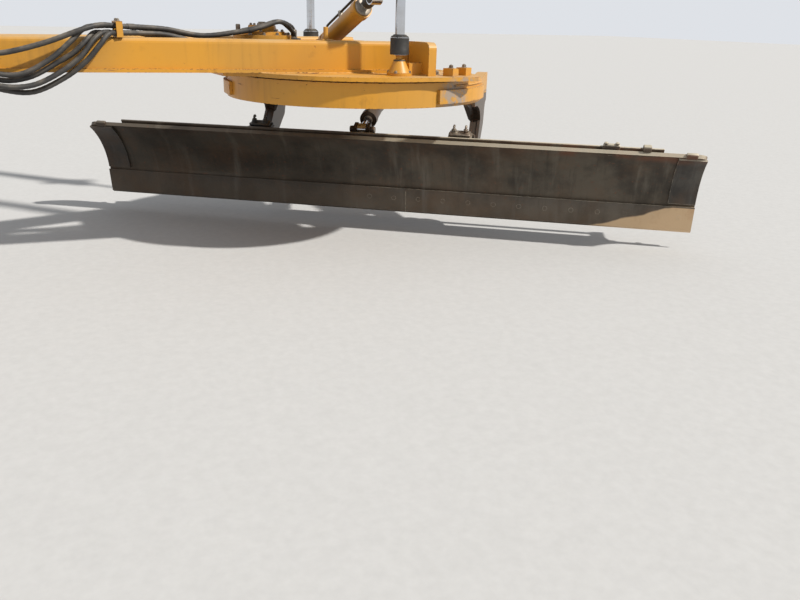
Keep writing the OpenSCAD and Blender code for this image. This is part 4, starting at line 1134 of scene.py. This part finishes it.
@dataclass
class Drawbar(Assembly):
    """Bolts, welds and small parts of the drawbar, its gearbox and its brackets."""

    nose_face: float = 0.110
    nose_bolts: float = 0.075
    bulkhead_x: float = 0.336
    clamp: tuple[float, float] = (1.040, 0.160)
    shoe_r: float = 0.590
    beam_w: float = 0.110
    plate_x: float = 2.445
    plate_half: float = 0.0225
    motor_z: float = 0.020
    post: Point = (2.02, -0.305, 0.0895)

    def bolts(self) -> None:
        """Makes the bolt heads of flanges, shoes, gearbox, motor and clamps."""
        heads = Shape()
        for y, z in around(6, self.nose_bolts, 30):
            heads.bolt((self.nose_face, y, z), (-1, 0, 0), 0.024)
        for x0, radius, z, count, size in (
                (CAD.pinion_x, 0.136, 0.106, 12, 0.015), (CAD.pinion_x, 0.104, 0.122, 8, 0.013),
                (CAD.pinion_x, 0.058, 0.152, 6, 0.012), (CAD.circle_x, 0.066, -0.045, 6, 0.016)):
            for x, y in around(count, radius, 180 / count):
                heads.bolt((x0 + x, y, z), UP, size)
        for angles, r, half, z, size in (
                ((66, 155, 205, 294), self.shoe_r, 0.045, CAD.deck_top, 0.024),
                ((66, 294), CAD.ring_r - 0.022, 0.060, CAD.deck_top + 0.038, 0.020)):
            for a in map(math.radians, angles):
                for b in (-half, half):
                    heads.bolt((CAD.circle_x + r * math.cos(a) - b * math.sin(a),
                                r * math.sin(a) + b * math.cos(a), z), UP, size)
        for y in (-0.046, 0.046):
            heads.bolt((CAD.pinion_x + 0.132, y, self.motor_z), (1, 0, 0), 0.018)
        for side in (-1, 1):
            for x, y in product((-0.038, 0.038), repeat=2):
                heads.bolt((CAD.lift_x + x, side * CAD.lift_y + y, CAD.deck_top + 0.013), UP, 0.014)
        for x, y in product((-0.012, 0.012), (-0.046, 0.050)):
            heads.bolt((CAD.centre[0] + x, CAD.centre[1] + y, CAD.deck_top + 0.016), UP, 0.016)
        x, z = self.clamp
        for y in (-0.180, -0.128):
            heads.bolt((x, y, z), UP, 0.014)
        for y, z in ((-0.120, -0.050), (-0.120, 0.030), (-0.196, 0.036), (-0.196, -0.062)):
            heads.bolt((self.bulkhead_x, y, z), (1, 0, 0), 0.012)
        self.shop.make("drawbar_bolts", heads, Body.DRAWBAR, Slot.STEEL)

    def welds(self) -> None:
        """Makes the weld beads of beams, crossbeam and brackets."""
        beads = Shape()

        def upright(x: float, y: float, high: float) -> None:
            """Adds a bead up a corner of a beam."""
            beads.bead([(x, y, -0.046), (x, y, high)], 0.006)

        end = CAD.beam_end
        across = self.beam_w / math.cos(math.radians(CAD.beam_angle))
        for side in (-1, 1):
            def outer(x: float, out: float) -> float:
                """The y of a beam's outer face at x, moved outwards."""
                return side * (CAD.beam_out(x) + out)
            beads.bead([(x, outer(x, 0.0145), -0.0655) for x in (1.66, 2.25)], 0.0055)
            for x in (self.plate_x - self.plate_half, self.plate_x + self.plate_half):
                upright(x, outer(x, 0.003), 0.078)
                beads.bead([(x, outer(x, 0.020), -0.0645), (x, side * 0.640, -0.0645)], 0.0060)
            upright(CAD.nose_end, outer(CAD.nose_end, 0.001), 0.070)
            upright(end, outer(end, -0.004), 0.060)
            inner = CAD.beam_out(end) - across
            upright(end, side * inner, 0.060)
            beads.bead([(end, outer(end, -0.020), 0.0705), (end, side * (inner + 0.02), 0.0705)], 0.006)
        for near, far in ((-0.090, -0.022), (0.022, 0.090)):
            beads.bead([(CAD.nose_end, near, 0.0885), (CAD.nose_end, far, 0.0885)], 0.005)
        for x in (CAD.centre[0] - 0.052, CAD.centre[0] + 0.052):
            beads.bead([(x, CAD.centre[1] + y, -0.049) for y in (-0.054, 0.056)], 0.005)
        self.shop.make("drawbar_welds", beads, Body.DRAWBAR, Slot.PAINT, smooth_angle=70)

    def small_parts(self) -> None:
        """Makes plugs, grease nipples, ports, the motor's bands, the hose post and the ball boots."""
        parts, fins, post, boots = (Shape() for _ in range(4))
        x = CAD.pinion_x
        parts.plug((x, 0, 0.1515), UP, 0.020, 0.016)
        parts.plug((x - 0.110, 0.060, 0.121), UP, 0.012, 0.030, 16, rise=0.004)
        parts.plug((x + 0.060, -0.0595, 0.0), (0, -1, 0), 0.016, 0.016)
        parts.plug((x - 0.02, -0.0975, self.motor_z), (0, -1, 0), 0.014, 0.014)
        for place in ((0.118, 0.0, 0.097), (CAD.circle_x + 0.03, 0.03, 0.0145),
                      (CAD.centre[0], CAD.centre[1] + 0.02, 0.0605)):
            parts.lathe([(-0.002, 0.006), (0.004, 0.006), (0.006, 0.003), (0.012, 0.003), (0.014, 0.0042),
                         (0.018, 0.0028)], place, UP, 10)
        for port, y in ((0.164, -0.020), (0.186, 0.020)):
            parts.lathe([(-0.001, 0.0165), (0.006, 0.0165), (0.008, 0.014)], (x + port, y, 0.090), UP, 6)
        for y in (-0.034, 0.0, 0.034):
            parts.plug((CAD.circle_x - 0.060, y, -0.012), (-1, 0, 0), 0.0150, 0.014, cut=0.002)
        self.shop.make("drawbar_fittings", parts, Body.DRAWBAR, Slot.STEEL)
        for at in np.arange(5) * 0.012 + x + 0.138:
            fins.lathe([(0, 0.0508), (0.001, 0.0532), (0.004, 0.0532), (0.005, 0.0508)],
                       (at, 0, self.motor_z), (1, 0, 0), 40)
        fins.lathe([(0, 0.046), (0.010, 0.044), (0.014, 0.036), (0.015, 0.0)], (x + 0.2035, 0, self.motor_z),
                   (1, 0, 0), 32)
        self.shop.make("motor_bands", fins, Body.DRAWBAR, Slot.BLACK)
        px, py, pz = self.post
        post.plug(self.post, UP, 0.012, 0.062, 16, rise=0.003)
        post.box((px - 0.030, py - 0.030, pz + 0.0003), (px + 0.030, py + 0.030, pz + 0.0065), 0.002)
        self.shop.make("hose_post", post, Body.DRAWBAR, Slot.PAINT)
        for side in (-1, 1):
            boots.place = CAD.at_lift(side)
            boots.lathe([(-0.060, 0.020), (-0.056, 0.030), (-0.047, 0.029), (-0.042, 0.020)], sides=32)
        self.shop.make("ball_boots", boots, Body.DRAWBAR, Slot.HOSE)

    def build(self) -> None:
        """Makes the group's pieces."""
        self.bolts()
        self.welds()
        self.small_parts()


@dataclass
class LiftCylinder(Assembly):
    """Cap bolts, gland, ports and the oil tube of a lift cylinder; side is -1 on the left."""

    side: int = -1
    barrel_up: float = 0.820
    barrel_len: float = 1.280
    tube_y: float = -0.092
    clips: tuple[float, ...] = (0.20, 0.48)
    block: float = 0.644

    def rod(self, word: str, body: Body) -> None:
        """Makes the cap on the rod's ball."""
        rod = Shape(CAD.at_lift(self.side))
        for x, y in around(4, 0.0385, 45):
            rod.bolt((x, y, 0.0575), UP, 0.012, False)
        rod.lathe([(-0.0225, 0.0400), (-0.021, 0.0475), (0.004, 0.0475), (0.006, 0.0466), (0.057, 0.0466),
                   (0.0728, 0.0312), (0.0738, 0.0242)], sides=48)
        self.shop.make(f"lift_cap_{word}", rod, body, Slot.BLACK)

    def barrel(self, word: str, body: Body) -> None:
        """Makes the gland, the end cap, the ports and the tube of the barrel."""
        place = CAD.at_lift(self.side) @ moved(0, 0, self.barrel_up)
        steel, tube = Shape(place), Shape(place)
        steel.lathe([(-0.006, 0.034), (-0.004, 0.036), (0.001, 0.036)], sides=32)
        for x, y in around(8, 0.052, 22.5):
            steel.bolt((x, y, 0.0005), (0, 0, -1), 0.014, False)
        top, y = self.barrel_len, self.tube_y
        steel.lathe([(-0.001, 0.060), (0.010, 0.058), (0.014, 0.050), (0.015, 0.0)], (0, 0, top), UP, 40)
        for z in (0.030, top - 0.022):
            steel.plug((0, y + 0.030, z), (0, -1, 0), 0.020, 0.022)
        path = [(0, y + out, z) for out, z in ((0.010, 0.030), (0, 0.034), (-0.004, 0.060), (-0.004, 0.30),
                                               (-0.004, 0.55), (-0.004, 0.60), (0, 0.625), (0.010, 0.640))]
        tube.tube(spline(path, 6), 0.0095)
        steel.box((-0.020, y - 0.008, self.block - 0.016), (0.020, y + 0.032, self.block + 0.016), 0.003)
        for z in self.clips:
            steel.box((-0.016, y - 0.0155, z - 0.012), (0.016, y + 0.032, z + 0.012), 0.002)
        self.shop.make(f"lift_tube_{word}", tube, body, Slot.PAINT)
        self.shop.make(f"lift_gland_{word}", steel, body, Slot.STEEL)

    def build(self) -> None:
        """Makes the pieces of the rod's cap and of the barrel."""
        word = "left" if self.side < 0 else "right"
        self.rod(word, Body(f"lift_rod_{word}"))
        self.barrel(word, Body(f"lift_barrel_{word}"))


@dataclass
class CentreCylinder(Assembly):
    """Gland, ports, oil tube and rod's eye of the centre shift cylinder."""

    ports: tuple[float, float] = (0.090, 0.520)
    port_y: float = 0.045
    eye_z: float = 0.700

    def build(self) -> None:
        """Makes the pieces of barrel and rod."""
        steel, tube, eye = (Shape(CAD.at_centre()) for _ in range(3))
        low, high = self.ports
        steel.lathe([(0.556, 0.030), (0.560, 0.044), (0.572, 0.044), (0.574, 0.040), (0.574, 0.026)],
                    sides=36)
        for z in self.ports:
            steel.plug((0, self.port_y, z), (0, 1, 0), 0.016, 0.018)
        path = ((0.062, high), (0.074, high - 0.006), (0.076, 0.490), (0.076, 0.300), (0.076, 0.130),
                (0.072, low + 0.016), (0.062, low))
        tube.tube(spline([(0, y, z) for y, z in path], 6), 0.0065)
        steel.box((-0.012, 0.044, 0.292), (0.012, 0.084, 0.310), 0.002)
        self.shop.make("centre_cylinder_gland", steel, Body.CENTRE_BARREL, Slot.STEEL)
        self.shop.make("centre_cylinder_tube", tube, Body.CENTRE_BARREL, Slot.BLACK)
        for b in (-1, 1):
            eye.lathe([(-0.001, 0.0330), (0.002, 0.0330), (0.003, 0.0300)], (b * 0.0278, 0, self.eye_z),
                      (b, 0, 0), 32)
        eye.lathe([(0.6140, 0.0222), (0.6160, 0.0300), (0.646, 0.0300), (0.664, 0.0240)], sides=32)
        self.shop.make("centre_cylinder_eye", eye, Body.CENTRE_ROD, Slot.BLACK)


@dataclass
class TipCylinder(Assembly):
    """Gland, ports, oil tube and the eye's grease nipple of the tip cylinder."""

    ports: tuple[float, float] = (0.104, 0.322)
    port_x: float = 0.047

    def build(self) -> None:
        """Makes the pieces of barrel and rod."""
        steel, tube, nipple = (Shape(CAD.at_tip()) for _ in range(3))
        low, high = self.ports
        steel.lathe([(0.349, 0.0235), (0.3525, 0.0272), (0.3580, 0.0272), (0.3595, 0.0236)], sides=36)
        for z in self.ports:
            steel.plug((self.port_x, 0, z), (1, 0, 0), 0.015, 0.016)
        path = ((0.062, high), (0.072, high - 0.006), (0.074, 0.296), (0.074, 0.130), (0.072, low + 0.006),
                (0.062, low))
        tube.tube(spline([(x, 0, z) for x, z in path], 6), 0.0065)
        self.shop.make("tip_cylinder_gland", steel, Body.TIP_BARREL, Slot.STEEL)
        self.shop.make("tip_cylinder_tube", tube, Body.TIP_BARREL, Slot.PAINT)
        nipple.lathe([(0.0345, 0.007), (0.040, 0.007), (0.042, 0.004), (0.047, 0.004), (0.049, 0.005),
                      (0.052, 0.003)], (0, 0, CAD.tip_length), UP, 10)
        self.shop.make("tip_eye_nipple", nipple, Body.TIP_ROD, Slot.STEEL)


@dataclass
class Circle(Assembly):
    """Welds and webs of the arms, welds of the tip cylinder's anchor and its pin's ends."""

    weld_span: tuple[float, float] = (70.0, 120.0)
    web_x: tuple[float, float] = (0.372, 0.390)
    web: tuple[tuple[float, float], ...] = (
        (0, 0), (-0.068, 0), (-0.062, -0.030), (-0.012, -0.150), (0, -0.160))

    def build(self) -> None:
        """Makes the beads, the webs and the pin's end plates."""
        beads, webs, pins = (Shape(CAD.at_circle()) for _ in range(3))
        y0, z0 = CAD.arm_y - 0.0305, CAD.ring_bottom - 0.0005
        for side in (-1, 1):
            span = sorted(side * angle for angle in self.weld_span)
            for z in (CAD.ring_bottom + 0.0155, CAD.ring_top - 0.0195):
                beads.tube(ring_path(CAD.ring_r + 0.002, z, *span, 1.5), 0.0050, 7)
            y, z = side * (CAD.arm_y + 0.030), CAD.ring_bottom - 0.001
            for x in (0.30, 0.52):
                beads.bead([(x, y, z), (x + 0.10, y, z)], 0.004)
            ring = self.web if side < 0 else self.web[::-1]
            webs.grid(np.array([[(x, side * (y0 + a), z0 + b) for a, b in ring] for x in self.web_x]))
            y, z = side * 0.0465, CAD.anchor_z + 0.058
            beads.bead([(CAD.anchor_x - 0.074, y, z), (CAD.anchor_x + 0.020, y, z)], 0.0045)
            pins.lathe([(-0.001, 0.019), (0.006, 0.019), (0.008, 0.016)],
                       (CAD.anchor_x, side * 0.0700, CAD.anchor_z), (0, side, 0), 28)
            pins.bolt((CAD.anchor_x, side * 0.0772, CAD.anchor_z), (0, side, 0), 0.016, False)
        self.shop.make("circle_welds", beads, Body.CIRCLE, Slot.PAINT, smooth_angle=70)
        piece = self.shop.make("arm_webs", webs, Body.CIRCLE, Slot.PAINT)
        # the webs take the paint with mud and painted shade
        piece.data.materials[0] = bpy.data.materials["soaked_shaded_paint"]
        self.shop.make("anchor_pin_ends", pins, Body.CIRCLE, Slot.STEEL)


@dataclass
class Carrier(Assembly):
    """Pins' keepers, retainers' bolts and caps, and welds of the tilt brackets and cross tube."""

    keeper: float = 0.010
    keeper_out: float = 0.075
    tube_r: float = 0.0495
    tube_place: tuple[float, float] = (0.062, 0.040)
    oil_drop: float = 0.172
    slide_back: float = 0.062
    slide_drop: float = 0.100
    ports: tuple[float, float] = (0.110, 1.10)

    def brackets(self, steel: Shape, beads: Shape, side: int) -> None:
        """Adds the keepers, bolts and beads of one tilt bracket."""
        p, w = CAD.pivot
        for way in (side, -side):
            at = side * CAD.arm_y + way * self.keeper_out
            y0, y1 = sorted((at, at + way * self.keeper))
            steel.box((p - 0.044, y0, w - 0.012), (p + 0.044, y1, w + 0.012), 0.002)
            for x in (-0.030, 0.030):
                steel.bolt((p + x, at + way * self.keeper, w), (0, way, 0), 0.014)
        deep = CAD.rail_t + CAD.strip_t + CAD.keep_t
        upper = CAD.rail_front + deep
        lower = CAD.back_at(CAD.low_rail_top) + CAD.low_rail_gap + deep
        for x, y, z in ((upper, -0.096, CAD.rail_top - 0.020), (upper, -0.030, CAD.rail_top - 0.024),
                        (lower, -0.092, 0.120), (lower, 0.034, 0.120)):
            steel.bolt((x, side * (CAD.arm_y + y), z), (1, 0, 0), 0.022)
        steel.plug((p + self.slide_back, side * (CAD.arm_y + 0.080), w - self.slide_drop), (0, side, 0),
                   0.056, 0.010, 36, cut=0.004)
        ring, (back, up) = ring_path(self.tube_r, 0, 0, 360, 12), self.tube_place
        beads.tube(np.stack([p + back + ring[:, 0], np.full(len(ring), side * (CAD.arm_y - 0.0605)),
                             w + up + ring[:, 1]], 1), 0.0045, 7)

    def cap(self, side: int, word: str, slot: Slot) -> None:
        """Makes the cast cap on one upper retainer, with two bolts and their hooked ends."""
        cap = Shape(CAD.at_carrier())
        back, low = CAD.rail_front + CAD.rail_t, CAD.rail_top + CAD.strip_t + CAD.slab_t
        y0, y1 = sorted((side * (CAD.arm_y - 0.120), side * (CAD.arm_y + 0.016)))
        cap.box((back - 0.044, y0, low), (back + 0.024, y1, low + 0.022), 0.003)
        cap.box((back - 0.036, y0 + 0.008, low + 0.021), (back + 0.016, y1 - 0.008, low + 0.040), 0.005)
        for y in (y0 + 0.034, y1 - 0.034):
            cap.bolt((back - 0.010, y, low + 0.040), UP, 0.026)
            cap.plug((back - 0.010, y, low + 0.050), UP, 0.0080, 0.014, 14, cut=0.002)
            hook = ((-0.010, 0.063), (-0.004, 0.073), (0.008, 0.072), (0.012, 0.062))
            cap.tube(spline([(back + x, y, low + z) for x, z in hook], 5), 0.0065, 8)
        for x in (-0.030, 0.010):
            cap.bolt((back + x, y0 if side < 0 else y1, low + 0.010), (0, side, 0), 0.016)
        self.shop.make(f"retainer_cap_{word}", cap, Body.CARRIER, slot)

    def build(self) -> None:
        """Makes the pieces."""
        steel, beads, tube = (Shape(CAD.at_carrier()) for _ in range(3))
        p, w = CAD.pivot
        for side in (-1, 1):
            self.brackets(steel, beads, side)
        for b in (-1, 1):
            steel.plug((p + CAD.clevis_back, b * 0.0688, w + CAD.clevis_up), (0, b, 0), 0.0185, 0.007, 28,
                       cut=0.0025)
            beads.bead([(p + 0.010, b * 0.0505, w + 0.0840), (p + 0.112, b * 0.0505, w + 0.0740)], 0.0040)
        x, y0 = p + self.slide_back, -(CAD.arm_y + 0.085)
        near, far = (y0 + y for y in self.ports)
        for y in (near, far):
            steel.plug((x, y, w - self.slide_drop - 0.0445), (0, 0, -1), 0.015, 0.014)
        low = w - self.oil_drop
        path = ((near, 0.012), (near + 0.010, 0.002), (near + 0.040, 0), (y0 + 0.60, 0), (far - 0.05, 0),
                (far - 0.01, 0.002), (far, 0.012))
        tube.tube(spline([(x, y, low + lift) for y, lift in path], 6), 0.0065)
        self.cap(-1, "left", Slot.STEEL)
        self.cap(1, "right", Slot.BLACK)
        self.shop.make("carrier_bolts", steel, Body.CARRIER, Slot.STEEL)
        self.shop.make("carrier_welds", beads, Body.CARRIER, Slot.PAINT, smooth_angle=70)
        self.shop.make("side_shift_tube", tube, Body.CARRIER, Slot.BLACK)


@dataclass
class BladeBack(Assembly):
    """Welds and stops of the slide rails, and the top strip of the upper one."""

    strip: tuple[float, float] = (-1.600, 1.620)
    latch: tuple[float, float] = (-1.365, -1.275)
    knob_y: float = -1.510
    stops: tuple[tuple[float, float], ...] = ((-1.320, 0.045), (1.470, 0.040))
    spacer_pitch: float = 0.195

    def build(self) -> None:
        """Makes the pieces."""
        beads, blocks, bar = (Shape(CAD.at_blade()) for _ in range(3))
        half = CAD.blade_len / 2 - CAD.rail_short
        for low, lift in ((CAD.rail_top - CAD.rail_tall, 0.002), (CAD.low_rail_top - CAD.ledge_t, 0.0)):
            for w, up in ((low - 0.001, -lift), (low + CAD.ledge_t + 0.001, lift)):
                p = CAD.back_at(w) + 0.002
                beads.bead([(p, -half, w + up), (p, half, w + up)], 0.0050, 0.010)
        self.shop.make("rail_welds", beads, Body.BLADE, Slot.BLADE, smooth_angle=70)
        top = CAD.height
        bar.box((0.031, self.strip[0], top - 0.030), (0.042, self.strip[1], top + 0.024), 0.002)
        for y in np.arange(self.strip[0] + 0.040, 1.60, self.spacer_pitch):
            bar.box((0.020, y, top - 0.028), (0.032, y + 0.060, top - 0.010), 0.002)
        y0, y1 = self.latch
        bar.box((0.024, y0, top - 0.006), (0.050, y1, top + 0.036), 0.004)
        for y in (y0 + 0.015, y1 - 0.015):
            bar.plug((0.037, y, top + 0.035), UP, 0.011, 0.010)
        bar.lathe([(-0.022, 0.020), (-0.018, 0.024), (0.018, 0.024), (0.022, 0.020)],
                  (0.036, self.knob_y, top + 0.018), (0, 1, 0), 20)
        self.shop.make("top_bar", bar, Body.BLADE, Slot.BLADE)
        p, top = CAD.rail_front, CAD.rail_top
        for y, wide in self.stops:
            blocks.box((p - 0.004, y - wide, top - 0.004), (p + 0.030, y + wide, top + 0.018), 0.003)
            for b in (-0.6, 0.6):
                blocks.bolt((p + 0.013, y + b * wide, top + 0.018), UP, 0.016)
        self.shop.make("rail_stops", blocks, Body.BLADE, Slot.BLADE)


def main() -> None:
    """Loads the frame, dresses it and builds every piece."""
    logging.basicConfig(level=logging.INFO, format="%(message)s")
    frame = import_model()
    View().build()
    Studio().build()
    shop = Shop(dress(frame))
    groups: tuple[Assembly, ...] = (
        Moldboard(shop), BladeBack(shop), Hoses(shop), Drawbar(shop), Circle(shop), Carrier(shop),
        TipCylinder(shop), CentreCylinder(shop), LiftCylinder(shop, -1), LiftCylinder(shop, 1))
    for group in groups:
        group.build()


if __name__ == "__main__":
    main()
